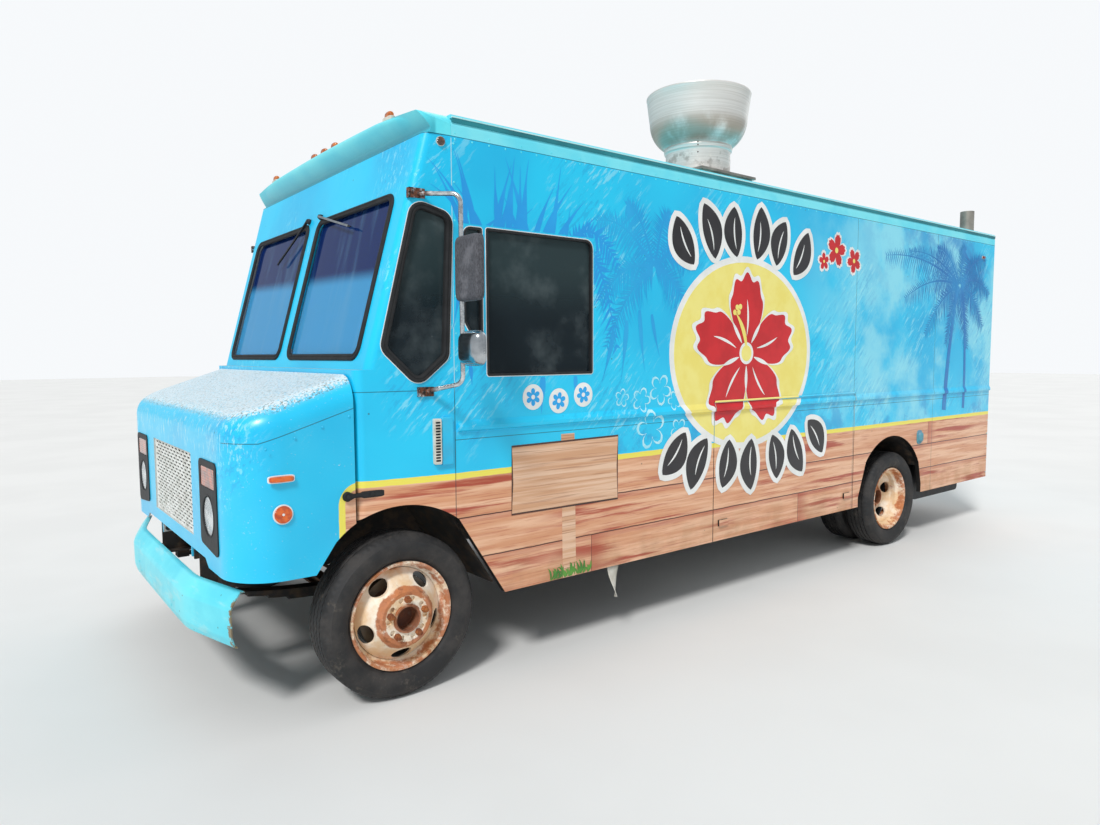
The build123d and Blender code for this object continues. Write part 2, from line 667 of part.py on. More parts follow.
def build_grille():
    """The pierced grille: staggered rows of slots through one panel."""
    front = at(hood_front_ahead)
    low, top = grille["low"] + 0.4, grille["top"] - 0.4
    half = grille["half"] - 0.4
    panel = block(front - 14, front - 8, -half, half, low, top)
    pitch_z = (top - low - 16) / grille["rows"]
    pitch_y = (2 * half - 20) / grille["slots"]
    slots = []
    for row in range(grille["rows"]):
        z = low + 8 + pitch_z * (row + 0.5)
        shift = 0 if row % 2 else pitch_y / 2
        for column in range(grille["slots"] - (0 if row % 2 else 1)):
            y = 10 - half + pitch_y * (column + 0.5) + shift
            slots.append(Pos(y, z) * Rectangle(pitch_y * 0.7, pitch_z * 0.5))
    return panel - front_plate(Sketch() + slots, front - 15, front - 7)


# Bumper

bumper = {"low": 365, "top": 605, "crease": 535, "straight": 620, "end_y": half_width - 180, "end_back": 105,
          "depth": 70}


def build_bumper():
    """The front bumper: a creased channel, straight in the middle and swept back at both ends."""
    face = at(front_overhang)
    b = bumper
    plan = [(face, -b["straight"]), (face, b["straight"]), (face - b["end_back"], b["end_y"])]
    section = [(-b["depth"], b["top"]), (-45, b["top"]), (-8, b["crease"] + 18), (0, b["crease"]), (-2, b["low"] + 45),
               (-12, b["low"] + 8), (-26, b["low"]), (-b["depth"], b["low"])]
    inner = [(-b["depth"] - 1, b["top"] - 7), (-49, b["top"] - 7), (-14, b["crease"] + 14), (-7, b["crease"] - 2),
             (-9, b["low"] + 46), (-19, b["low"] + 12), (-26, b["low"] - 1), (-b["depth"] - 1, b["low"] - 1)]
    solids = []
    for points in (section, inner):
        middle = side_plate(polygon(*[(face + x, z) for x, z in points]), -b["straight"], b["straight"])
        sweep_angle = math.degrees(math.atan2(b["end_back"], b["end_y"] - b["straight"]))
        half = side_plate(polygon(*[(x, z) for x, z in points]), -200, 480)
        end = Pos(face, b["straight"], 0) * Rot(0, 0, sweep_angle) * half
        end = end & block(face - 400, face + 99, b["straight"], b["end_y"], 0, 999)
        solids.append(middle + both_sides(end))
    shell = solids[0] - solids[1]
    for sign in (1, -1):
        y = sign * (rail_outside_y - rail_flange / 2)
        shell += block(at(rail_front_ahead), face - 5, y - 30, y + 30, 515, 590)
    save("front_bumper", shell)


# Chassis

crossmember_places = [at(600)] + [along(share) for share in hanger_shares] + [
    along(0.86), rear_axle_x - 580, body_rear_x + 145]


def build_frame():
    """Two channel rails, their crossmembers, the floor's sills and the hood's hinge brackets."""
    x0 = body_rear_x + 2
    x1 = at(rail_front_ahead)
    low = rail_top_z - rail_height
    outer = block(x0, x1, rail_outside_y - rail_flange, rail_outside_y, low, rail_top_z)
    hollow = block(x0 - 1, x1 + 1, rail_outside_y - rail_flange - 1, rail_outside_y - rail_thickness,
                   low + rail_thickness, rail_top_z - rail_thickness)
    pieces = both_sides(outer - hollow)
    inside = rail_outside_y - rail_thickness
    members = [block(x - 40, x + 40, -inside, inside, rail_top_z - 80, rail_top_z - rail_thickness)
               for x in crossmember_places]
    hinge_x = at(hood_hinge["ahead"])
    for sign in (1, -1):
        y = sign * hood_hinge["y"]
        members[0] += disc_y(hinge_x, y - 14, y + 14, hood_hinge["z"], hood_hinge["pin_radius"])
        low_y, high_y = sorted((y + sign * 12, y + sign * 28))
        members[0] += block(crossmember_places[0], hinge_x + 16, low_y, high_y,
                            hood_hinge["z"] - 30, hood_hinge["z"] + 18)
    pieces += members
    sill_pitch = (at(sill_front_ahead) - body_rear_x - 95) / (sill_count - 1)
    for index in range(sill_count):
        x = at(sill_front_ahead) - index * sill_pitch
        pieces.append(block(x - 25, x + 25, -sill_reach, sill_reach, rail_top_z, floor_top_z - floor_thickness))
    save("chassis_frame", *pieces)


def spring_seat(x, sign, low_z, high_z):
    """The pad on an axle that its spring rests on."""
    y = sign * spring_y
    return block(x - 60, x + 60, y - spring_width / 2, y + spring_width / 2, low_z, high_z)


def build_front_axle():
    """The dropped I-beam with a kingpin eye at each end."""
    beam = block(front_axle_x - 36, front_axle_x + 36, -620, 620, 288, 300)
    beam += block(front_axle_x - 8, front_axle_x + 8, -620, 620, 299, 336)
    beam += block(front_axle_x - 36, front_axle_x + 36, -620, 620, 335, 347)
    for sign in (1, -1):
        arm = front_plate(polygon((sign * 600, 288), (sign * 620, 347), (sign * (kingpin_y - 20), 420),
                                  (sign * (kingpin_y - 20), 361)), front_axle_x - 30, front_axle_x + 30)
        beam += arm
        beam += disc_z(front_axle_x, sign * kingpin_y, 352, 428, 38)
    for sign in (1, -1):
        beam -= disc_z(front_axle_x, sign * kingpin_y, 300, 500, 22.3)
        beam += spring_seat(front_axle_x, sign, 346, front_spring["z"])
    return beam


def leaf_pack(x, y, base_z, length, rise, leaves, thickness):
    """A pack of arched leaves, each shorter than the one above."""
    pack = []
    for leaf in range(leaves):
        half = length / 2 * (1 - 0.16 * (leaves - 1 - leaf))
        sag = rise * (half / (length / 2)) ** 2
        z = base_z + leaf * thickness
        low = [(x - half, z + sag), (x, z), (x + half, z + sag)]
        high = [(px, pz + thickness) for px, pz in low]
        edges = [ThreePointArc(*low), Line(low[2], high[2]), ThreePointArc(*reversed(high)), Line(high[0], low[0])]
        pack.append(side_plate(make_face(Wire(edges)), y - spring_width / 2, y + spring_width / 2))
    whole = pack[0]
    for leaf in pack[1:]:
        whole += leaf
    return whole


def build_springs():
    """Leaf springs over both axles, with hangers down from the rails."""
    packs = []
    for x, spring in ((front_axle_x, front_spring), (rear_axle_x, rear_spring)):
        for sign in (1, -1):
            y = sign * spring_y
            pack = leaf_pack(x, y, spring["z"], spring["length"], spring["rise"], spring["leaves"], leaf_thickness)
            top = spring["z"] + spring["rise"] + spring["leaves"] * leaf_thickness
            for end in (-1, 1):
                hanger_x = x + end * (spring["length"] / 2 - 14)
                pack += block(hanger_x - 30, hanger_x + 30, y - spring_width / 2, y + spring_width / 2,
                              top - 30, max(top + 40, 560))
            packs.append(pack)
    save("leaf_springs", *packs)


def build_rear_axle():
    """The drive axle: a banjo housing, its tubes and the spindle ends that carry the hubs."""
    axle = disc_y(rear_axle_x, -690, 690, axle_z, 58)
    axle += Pos(rear_axle_x, 0, axle_z) * Sphere(185)
    axle += rod((rear_axle_x + 100, 0, axle_z), (rear_axle_x + 330, 0, axle_z + 10), 75)
    axle += disc_y(rear_axle_x, -860, 860, axle_z, 38)
    for sign in (1, -1):
        axle += spring_seat(rear_axle_x, sign, axle_z + 40, rear_spring["z"])
    save("axles", build_front_axle(), axle)
    bearing_x = along(hanger_shares[2])
    joint_x = bearing_x + 300
    shaft = rod((rear_axle_x + 332, 0, axle_z + 10), (joint_x, 0, 500), 42)
    shaft += rod((joint_x, 0, 500), (at(gearbox_rear_ahead) - 1.3, 0, gearbox_z), 42)
    shaft += block(bearing_x - 30, bearing_x + 30, -80, 80, 420, rail_top_z - 80)
    save("drive_shaft", shaft)


def build_engine():
    """The engine and gearbox as one plain block, and the radiator behind the grille."""
    engine = block(at(-60), at(480), -270, 270, 460, 1180)
    engine += rod((at(gearbox_rear_ahead), 0, gearbox_z), (at(-55), 0, gearbox_z), gearbox_radius)
    web_inside = rail_outside_y - rail_thickness
    engine += block(at(60), at(140), -web_inside, web_inside, 560, 610)
    radiator = block(at(600), at(660), -395, 395, rail_top_z, 1190)
    save("engine_block", engine)
    save("radiator", radiator)
    half = engine_tunnel_half + 10 - seat
    sheet = 10
    low_z = floor_top_z - 100
    cover = block(at(-246), at(cowl_ahead) - wall_thickness, -half, half, low_z, engine_tunnel_z + sheet)
    cover = fillet(cover.edges().filter_by(Axis.X).group_by(Axis.Z)[-1], 60)
    hollow = block(at(-246) + sheet, at(cowl_ahead), sheet - half, half - sheet, low_z - 1, engine_tunnel_z)
    save("engine_cover", cover - hollow)


def build_tanks():
    """The fuel tank, the waste water tank at the back and the exhaust."""
    fuel_front = at(cab_door["rear"]) - 50
    fuel = block(fuel_front - 900, fuel_front, 228 - half_width, -rail_outside_y - 20, 420, 690)
    fuel = fillet(fuel.edges().filter_by(Axis.X), 60)
    for x in (fuel_front - 700, fuel_front - 200):
        fuel += block(x - 25, x + 25, -rail_outside_y - 40, -rail_outside_y, 520, 680)
    water_rear = body_rear_x + 384
    water = block(water_rear, rear_axle_x - tyre_radius - 89, 560, half_width - 100, 310, 640)
    water = fillet(water.edges().filter_by(Axis.Y), 40)
    for x in (water_rear + 160, water_rear + 560):
        water += block(x - 25, x + 25, rail_outside_y, 570, 540, 600)
    save("underbody_tanks", fuel, water)
    pipe_y = -230
    pipe_z = 400
    silencer_front, silencer_rear = along(0.49), along(0.68)
    pipe = disc_x(silencer_rear - 450, at(-300), pipe_y, pipe_z, 32)
    pipe += disc_x(silencer_rear, silencer_front, pipe_y, pipe_z, 92)
    for share in hanger_shares:
        x = along(share)
        pipe += block(x - 12, x + 12, pipe_y - 5, pipe_y + 5, pipe_z + 20, rail_top_z - 80)
    save("exhaust_pipe", pipe)


# Wheels


def ring(profile, x, y, sign):
    """A profile of (outward distance, radius) points turned about a wheel's axle."""
    face = Plane(origin=(x, y, axle_z), x_dir=(0, sign, 0), z_dir=(sign, 0, 0)) * profile
    return revolve(face, Axis((x, y, axle_z), (0, 1, 0)), 360)


def tyre(x, y):
    """A tyre with a flat tread, rounded shoulders and full sidewalls."""
    half = tyre_width / 2
    bead = rim_width / 2 - 0.5
    top = tyre_radius
    edges = [Line((-bead, bead_radius + 0.5), (-bead, rim_flange_radius + 3)),
             ThreePointArc((-bead, rim_flange_radius + 3), (-half, 330), (-half + 26, top - 9)),
             Line((-half + 26, top - 9), (-half + 44, top)), Line((-half + 44, top), (half - 44, top)),
             Line((half - 44, top), (half - 26, top - 9)),
             ThreePointArc((half - 26, top - 9), (half, 330), (bead, rim_flange_radius + 3)),
             Line((bead, rim_flange_radius + 3), (bead, bead_radius + 0.5)),
             Line((bead, bead_radius + 0.5), (-bead, bead_radius + 0.5))]
    return ring(make_face(Wire(edges)), x, y, 1)


def rim(x, y, facing):
    """A steel rim: two flanges, a drop-centre well and a dished disc with hand holes and stud holes."""
    edge = rim_width / 2
    well = 222
    barrel = polygon((-edge - 11, rim_flange_radius), (-edge, rim_flange_radius), (-edge, bead_radius),
                     (-edge + 34, bead_radius - 4), (-edge + 52, well), (edge - 52, well),
                     (edge - 34, bead_radius - 4), (edge, bead_radius), (edge, rim_flange_radius),
                     (edge + 11, rim_flange_radius), (edge + 11, rim_flange_radius - 10), (edge + 4, bead_radius - 7),
                     (edge - 36, bead_radius - 11), (edge - 54, well - 7), (-edge + 54, well - 7),
                     (-edge + 36, bead_radius - 11), (-edge - 4, bead_radius - 7),
                     (-edge - 11, rim_flange_radius - 10))
    flat = disc_offset
    dish = polygon((edge - 60, well - 4), (edge - 44, well - 4), (flat - 6, 140), (flat + disc_thickness, 126),
                   (flat + disc_thickness, hub_bore_radius), (flat, hub_bore_radius), (flat, 124), (flat - 20, 136))
    wheel = ring(barrel, x, y, facing) + ring(dish, x, y, facing)
    plane = Plane(origin=(x, y, axle_z), x_dir=(1, 0, 0), z_dir=(0, facing, 0))
    hands = [Rot(0, 0, 90 + index * 360 / hand_hole_count) * Pos(hand_hole_circle_radius, 0)
             * Ellipse(*hand_hole_half) for index in range(hand_hole_count)]
    studs = [Rot(0, 0, index * 360 / stud_count) * Pos(stud_circle_radius, 0)
             * Circle(stud_hole_radius) for index in range(stud_count)]
    return wheel - extrude(plane * (Sketch() + hands + studs), 200)


def hub(x, sign, drum_y0, drum_y1, face_y, nose_y, bore):
    """A hub: brake drum inboard, barrel, flange against the disc and a nose through it, open in front."""
    nose_radius = 56
    nose_depth = 62
    body = disc_y(x, sign * (face_y - 14), sign * face_y, axle_z, 118)
    body += disc_y(x, sign * (drum_y1 - 20), sign * (face_y - 13), axle_z, 92)
    body += disc_y(x, sign * (face_y - 1), sign * nose_y, axle_z, hub_bore_radius)
    drum = disc_y(x, sign * drum_y0, sign * drum_y1, axle_z, 188)
    drum -= disc_y(x, sign * (drum_y0 - 1), sign * (drum_y1 - 12), axle_z, 178)
    body += drum
    body -= disc_y(x, sign * (nose_y - nose_depth), sign * (nose_y + 1), axle_z, nose_radius)
    return body - disc_y(x, sign * (drum_y0 - 50), sign * (nose_y - nose_depth - 6), axle_z, bore)


def build_wheels():
    """Front wheels on their knuckles and twin rear wheels, one set for each side."""
    for sign, side in ((1, "left"), (-1, "right")):
        y = sign * front_wheel_y
        save(f"front_tyre_{side}", tyre(front_axle_x, y))
        face_y = front_wheel_y + disc_offset
        front_hub = hub(front_axle_x, sign, 1000, 1068, face_y, face_y + 20, 25.3)
        save(f"front_rim_{side}", rim(front_axle_x, y, sign) + front_hub)
        knuckle = disc_y(front_axle_x, sign * (kingpin_y + 44), sign * (kingpin_y + 72), axle_z, 88)
        knuckle += disc_y(front_axle_x, sign * (kingpin_y + 70), sign * (face_y - 52), axle_z, 25)
        knuckle += disc_z(front_axle_x, sign * kingpin_y, axle_z - 72, axle_z + 72, 22)
        for z0, z1 in ((axle_z - 80, axle_z - 40), (axle_z + 40, axle_z + 80)):
            knuckle += disc_z(front_axle_x, sign * kingpin_y, z0, z1, 40)
            low_y, high_y = sorted((sign * kingpin_y, sign * (kingpin_y + 60)))
            knuckle += block(front_axle_x - 35, front_axle_x + 35, low_y, high_y, z0, z1)
        arm_x = front_axle_x - steer_arm
        knuckle += block(arm_x, front_axle_x, sign * kingpin_y - 15, sign * kingpin_y + 15,
                         steer_arm_z, steer_arm_z + 18)
        knuckle += disc_z(arm_x, sign * kingpin_y, steer_arm_z, steer_arm_z + 18, 24)
        save(f"steering_knuckle_{side}", knuckle)
        outer = sign * rear_outer_wheel_y
        inner = sign * (rear_outer_wheel_y - dual_spacing)
        save(f"rear_tyres_{side}", tyre(rear_axle_x, outer), tyre(rear_axle_x, inner))
        face_y = rear_outer_wheel_y - dual_spacing + disc_offset
        rear_hub = hub(rear_axle_x, sign, 700, 796, face_y, face_y + 120, 38.3)
        save(f"rear_rims_{side}", rim(rear_axle_x, outer, -sign) + rim(rear_axle_x, inner, sign) + rear_hub)


def build_tie_rod():
    """The tie rod behind the front axle, its eyes on pins under the steering arms."""
    x = front_axle_x - steer_arm
    eye_top = steer_arm_z - seat
    rod_z = eye_top - 14
    bar = disc_y(x, -kingpin_y, kingpin_y, rod_z, 11)
    for sign in (1, -1):
        bar += disc_z(x, sign * kingpin_y, rod_z - 14, eye_top, 18)
    save("tie_rod", bar)


# Inside the cab and galley


def build_interior():
    """The dashboard, steering wheel, driver's seat and the galley's counters and hood."""
    dash = block(at(-70), at(100), -half_width, half_width, dash_low_z, dash_top_z)
    dash = fillet(dash.edges().filter_by(Axis.Y).group_by(Axis.X)[0], 40)
    dash = dash & cab_form(wall_thickness + seat, dash_low_z - 30, dash_top_z + 50)
    tilt = math.radians(35)
    centre = Vector(at(-195), driver_y, 1500)
    axis = Vector(-math.sin(tilt), 0, math.cos(tilt))
    plane = Plane(origin=centre, x_dir=(0, 1, 0), z_dir=axis)
    wheel = plane * Torus(225, 15)
    for angle in (90, 210, 330):
        wheel += plane * Rot(0, 0, angle) * Pos(112, 0, -6) * Box(226, 30, 10)
    wheel += plane * Pos(0, 0, -6) * Cylinder(48, 40)
    save("steering_wheel", wheel)
    end = centre - axis * (26 + seat)
    column = extrude(Plane(origin=end, z_dir=axis * -1) * Circle(34), 300)
    save("dashboard", dash + column)
    seat_x = at(driver_seat_ahead)
    low, high = driver_y - 180, driver_y + 180
    plate_low = seat_plate_z - 20
    base = block(seat_x - 200, seat_x + 200, low, high, floor_top_z, floor_top_z + 40)
    base += disc_z(seat_x, driver_y, floor_top_z + 39, plate_low, 60)
    base += block(seat_x - 230, seat_x + 230, low - 50, high + 50, plate_low - 1, seat_plate_z)
    base += block(seat_x - 250, seat_x - 229, low, high, plate_low, seat_plate_z + 600)
    save("driver_seat_frame", base)
    cushion = block(seat_x - 220, seat_x + 250, low - 60, high + 60, seat_plate_z + seat, seat_plate_z + 110)
    back = block(seat_x - 229 + seat, seat_x - 120, low - 50, high + 50, seat_plate_z + 116, seat_plate_z + 750)
    save("seat_cushions", fillet(cushion.edges(), 40), fillet(back.edges(), 40))
    edge = half_width - wall_thickness
    counter_x0, counter_x1 = rear_axle_x + 621, at(-1400)
    inside = edge - counter_depth
    top_low = locker["top"] + 10
    left = block(counter_x0, counter_x1, inside, edge, top_low, top_low + counter_top)
    for x in (counter_x0, counter_x1 - counter_top):
        left += block(x, x + counter_top, inside, edge, floor_top_z, top_low + 1)
    right_x0, right_x1 = rear_axle_x + 541, at(hatch["front"])
    kerb_inside = counter_depth - 100 - edge
    top_low = hatch["low"] - 90
    right = block(right_x0, right_x1, -edge, kerb_inside, top_low, top_low + counter_top)
    for x in (right_x0, right_x1 - counter_top):
        right += block(x, x + counter_top, -edge, kerb_inside, floor_top_z, top_low + 1)
    save("galley_counters", left, right)
    hood_rear, hood_front = fan_x - 871, fan_x + 929
    hood_low, hood_top, lip = 2100, 2420, edge - 844
    sheet = 10
    outline = polygon((edge, hood_low), (lip, hood_low), (lip, hood_low + 100), (lip + 30, hood_top), (edge, hood_top))
    range_hood = front_plate(outline, hood_rear, hood_front)
    inner = polygon((edge - sheet, hood_low - 1), (lip + sheet, hood_low - 1), (lip + sheet, hood_low + 96),
                    (lip + 30 + sheet, hood_top - sheet), (edge - sheet, hood_top - sheet))
    range_hood -= front_plate(inner, hood_rear + sheet, hood_front - sheet)
    range_hood += block(fan_x - 150, fan_x + 150, fan_y - 100, fan_y + 150, hood_top - 5, roof_under())
    save("range_hood", range_hood)


def roof_under():
    """Height of the roof's underside at its lower shoulder."""
    return gutter_z + 6 - roof_thickness


# On the roof

fan_x = at(fan["ahead"])
fan_y = fan["y"]


def fan_bowl_form(inset):
    """The fan's outside as one turned form, or its inside: neck, collar, round belly and flared wall."""
    open_end = 1 if inset else 0
    foot = fan["plate_z"] + fan["plate"] - open_end
    neck, collar, rim = (fan[key] - inset for key in ("neck_radius", "collar_radius", "rim_radius"))
    belly = [(collar + 4, fan["collar_top"]), (317 - inset, 3206 + inset * 0.5), (355 - inset, 3330)]
    top = fan["rim_z"] + open_end
    edges = [Line((0, foot), (neck, foot)), Line((neck, foot), (neck, fan["neck_top"])),
             Line((neck, fan["neck_top"]), (collar, fan["neck_top"] + 6)),
             Line((collar, fan["neck_top"] + 6), (collar, fan["collar_top"])),
             Line((collar, fan["collar_top"]), belly[0]), ThreePointArc(*belly),
             Line(belly[2], (rim, top)), Line((rim, top), (0, top)), Line((0, top), (0, foot))]
    return revolve(Plane.XZ * make_face(Wire(edges)), Axis.Z)


def build_fan():
    """The upblast exhaust fan: a square curb, a neck with a rolled collar, and a spun bowl open at the top."""
    half, plate_half = fan["curb_half"], fan["plate_half"]
    neck_foot = fan["plate_z"] + fan["plate"]
    curb = block(fan_x - half, fan_x + half, fan_y - half, fan_y + half, gutter_z - 28, fan["plate_z"] + 10)
    curb -= front_plate(body_section(0, 0), fan_x - 999, fan_x + 999)
    curb += block(fan_x - plate_half, fan_x + plate_half, fan_y - plate_half, fan_y + plate_half,
                  fan["plate_z"], neck_foot)
    motor = disc_z(fan_x, fan_y, neck_foot - 1, fan["motor_top"] - 60, fan["motor_radius"])
    motor += disc_z(fan_x, fan_y, fan["motor_top"] - 61, fan["motor_top"], fan["motor_radius"] - 25)
    brace = fan["neck_radius"] - fan["sheet"] - 1
    for angle in (45, 135):
        motor += Pos(fan_x, fan_y, neck_foot + 22) * Rot(0, 0, angle) * Box(2 * brace, 20, 30)
    save("fan_base", curb + motor)
    save("fan_bowl", Pos(fan_x, fan_y, 0) * (fan_bowl_form(0) - fan_bowl_form(fan["sheet"])))
    vent_x = body_rear_x + 214
    vent_y = half_width - 170
    flashing_z = gutter_z + 28
    pipe = disc_z(vent_x, vent_y, gutter_z - 18, flashing_z, 84)
    pipe += disc_z(vent_x, vent_y, flashing_z - 1, gutter_z + 224, 60)
    pipe -= disc_z(vent_x, vent_y, flashing_z, gutter_z + 230, 56)
    pipe -= front_plate(body_section(0, 0), vent_x - 99, vent_x + 99)
    dome_x = at(-2080)
    dome = Pos(dome_x, vent_y - 10, gutter_z + 17) * Sphere(45)
    save("roof_vents", pipe, dome - front_plate(body_section(0, 0), dome_x - 99, dome_x + 99))


# Mirrors, wipers and small lamps

mirror_heads = [
    {"rear": -246, "front": -204, "low": 1850, "top": 2140, "corner": 25, "back": 12},      # flat glass
    {"rear": -252, "front": -198, "low": 1560, "top": 1720, "corner": 35, "back": 26},      # convex glass
]
wiper_arms = ((90, 560, 122), (-90, -430, 212))  # pivot y, tip y, drop of the tip down the glass
wiper_blade = 420


def build_mirrors():
    """The mirror arms, bent tubes off the cab sides, with a flat and a convex mirror on each."""
    top, bottom = Vector(at(-96), half_width - 30, 2345), Vector(at(-123), half_width - 25, 1440)
    tube_y = half_width + 150
    out_top, out_bottom = Vector(at(-225), tube_y, 2330), Vector(at(-225), tube_y, 1480)
    route = FilletPolyline(top, out_top, out_bottom, bottom, radius=45)
    tube = sweep(Plane(origin=route @ 0, z_dir=route % 0) * Circle(11), route)
    feet = [block(point.X - 40, point.X + 40, point.Y - 12, point.Y + 16, point.Z - 22, point.Z + 22)
            for point in (top, bottom)]
    arm = tube + feet
    arm -= cab_form(0, 1000, cant_z)
    heads = []
    for head in mirror_heads:
        form = block(at(head["rear"]), at(head["front"]), tube_y - 30, tube_y + 160, head["low"], head["top"])
        form = fillet(form.edges().filter_by(Axis.X), head["corner"])
        form = fillet(form.edges().group_by(Axis.X)[-1], head["back"])
        heads += both_sides(form - tube)
    save("mirror_arms", *both_sides(arm))
    save("mirror_heads", *heads)


def build_wipers():
    """Two wipers hanging from pivots over the windshield, blades lying down the glass."""
    wipers = []
    pivot_z = windshield_pane["height"] + 30
    for pivot_y, tip_y, drop in wiper_arms:
        plane = lean_plane(12)
        pivot = plane * Pos(pivot_y, pivot_z) * Cylinder(16, 24)
        length = math.hypot(tip_y - pivot_y, drop)
        angle = math.degrees(math.atan2(-drop, tip_y - pivot_y))
        arm = plane * Pos((pivot_y + tip_y) / 2, pivot_z - drop / 2, 10) * Rot(0, 0, angle) * Box(length, 12, 6)
        end = plane * Pos(pivot_y, pivot_z) * Rot(0, 0, angle)
        blade = end * Pos(length - wiper_blade / 2 + 30, 0, 4) * Box(wiper_blade, 9, 12)
        wipers.append(pivot + arm + blade)
    save("wipers", *wipers)


def build_small_lamps(clearance_lamps):
    """Tail lamps and rear markers on the back wall, and markers high on the sides."""
    lamps = list(clearance_lamps)
    tail_y = half_width - 200
    for sign in (1, -1):
        for z in (770, 860):
            lamps.append(rod((body_rear_x - 22, sign * tail_y, z), (body_rear_x, sign * tail_y, z), 38))
    for y in (280 - half_width, -150, 0, 150, half_width - 280):
        lamps.append(block(body_rear_x - 14, body_rear_x, y - 30, y + 30, 2560, 2590))
    side = block(body_rear_x + 215, body_rear_x + 275, half_width, half_width + 14, 2480, 2508)
    save("marker_lamps", *lamps, *both_sides(side))


build_cab()
build_sides()
build_locker_door()
build_hatch()
build_cab_door()
build_roof()
build_rear()
build_floor()
build_wheel_houses()
build_hood()
build_bumper()
build_frame()
build_springs()
build_rear_axle()
build_engine()
build_tanks()
build_wheels()
build_tie_rod()
build_interior()
build_fan()
build_mirrors()
build_wipers()
build_small_lamps(build_roof_cap())
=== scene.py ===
import json
import math

import bmesh
import bpy
import numpy as np
from mathutils import Matrix, Vector


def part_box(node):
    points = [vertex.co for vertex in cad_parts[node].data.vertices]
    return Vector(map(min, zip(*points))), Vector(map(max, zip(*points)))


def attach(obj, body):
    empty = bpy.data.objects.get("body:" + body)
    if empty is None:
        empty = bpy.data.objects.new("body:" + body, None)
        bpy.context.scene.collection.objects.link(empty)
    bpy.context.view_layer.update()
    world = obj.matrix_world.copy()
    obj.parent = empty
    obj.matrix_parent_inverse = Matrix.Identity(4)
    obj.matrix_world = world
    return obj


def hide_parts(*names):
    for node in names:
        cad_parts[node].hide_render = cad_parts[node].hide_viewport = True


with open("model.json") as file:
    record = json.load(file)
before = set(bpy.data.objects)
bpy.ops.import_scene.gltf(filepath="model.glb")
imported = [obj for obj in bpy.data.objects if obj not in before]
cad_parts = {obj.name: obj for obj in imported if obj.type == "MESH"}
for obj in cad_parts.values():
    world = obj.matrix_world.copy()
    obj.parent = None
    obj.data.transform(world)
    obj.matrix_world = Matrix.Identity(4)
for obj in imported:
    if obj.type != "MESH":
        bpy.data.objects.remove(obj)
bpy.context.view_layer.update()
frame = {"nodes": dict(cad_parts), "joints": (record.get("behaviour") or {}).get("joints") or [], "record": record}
nodes = frame["nodes"]
joints = {joint["name"]: joint for joint in frame["joints"]}

# metres; the truck's nose points along +X and the driver's side is +Y
frontAxleX = joints["roll_front_left"]["pos_m"][0]
rearAxleX = joints["roll_rear_left"]["pos_m"][0]
axleZ = joints["roll_front_left"]["pos_m"][2]
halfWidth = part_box("roof_panel")[1].y
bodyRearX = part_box("rear_wall")[0].x
cabSeamAhead = -0.269                           # the cab tapers in ahead of this seam
lean, taper = math.radians(15.2), math.radians(7.4)     # of the windshield, of the cab's sides
scene = bpy.context.scene
print("frame loaded:", len(nodes), "nodes")


def at(ahead):
    # X of a point a distance ahead of the front axle
    return frontAxleX + ahead


# Wiring of materials

def linear(text):
    # a written sRGB colour as the linear values a socket takes
    values = [int(text[i:i + 2], 16) / 255 for i in (0, 2, 4)]
    return tuple(v / 12.92 if v <= 0.04045 else ((v + 0.055) / 1.055) ** 2.4 for v in values) + (1.0,)


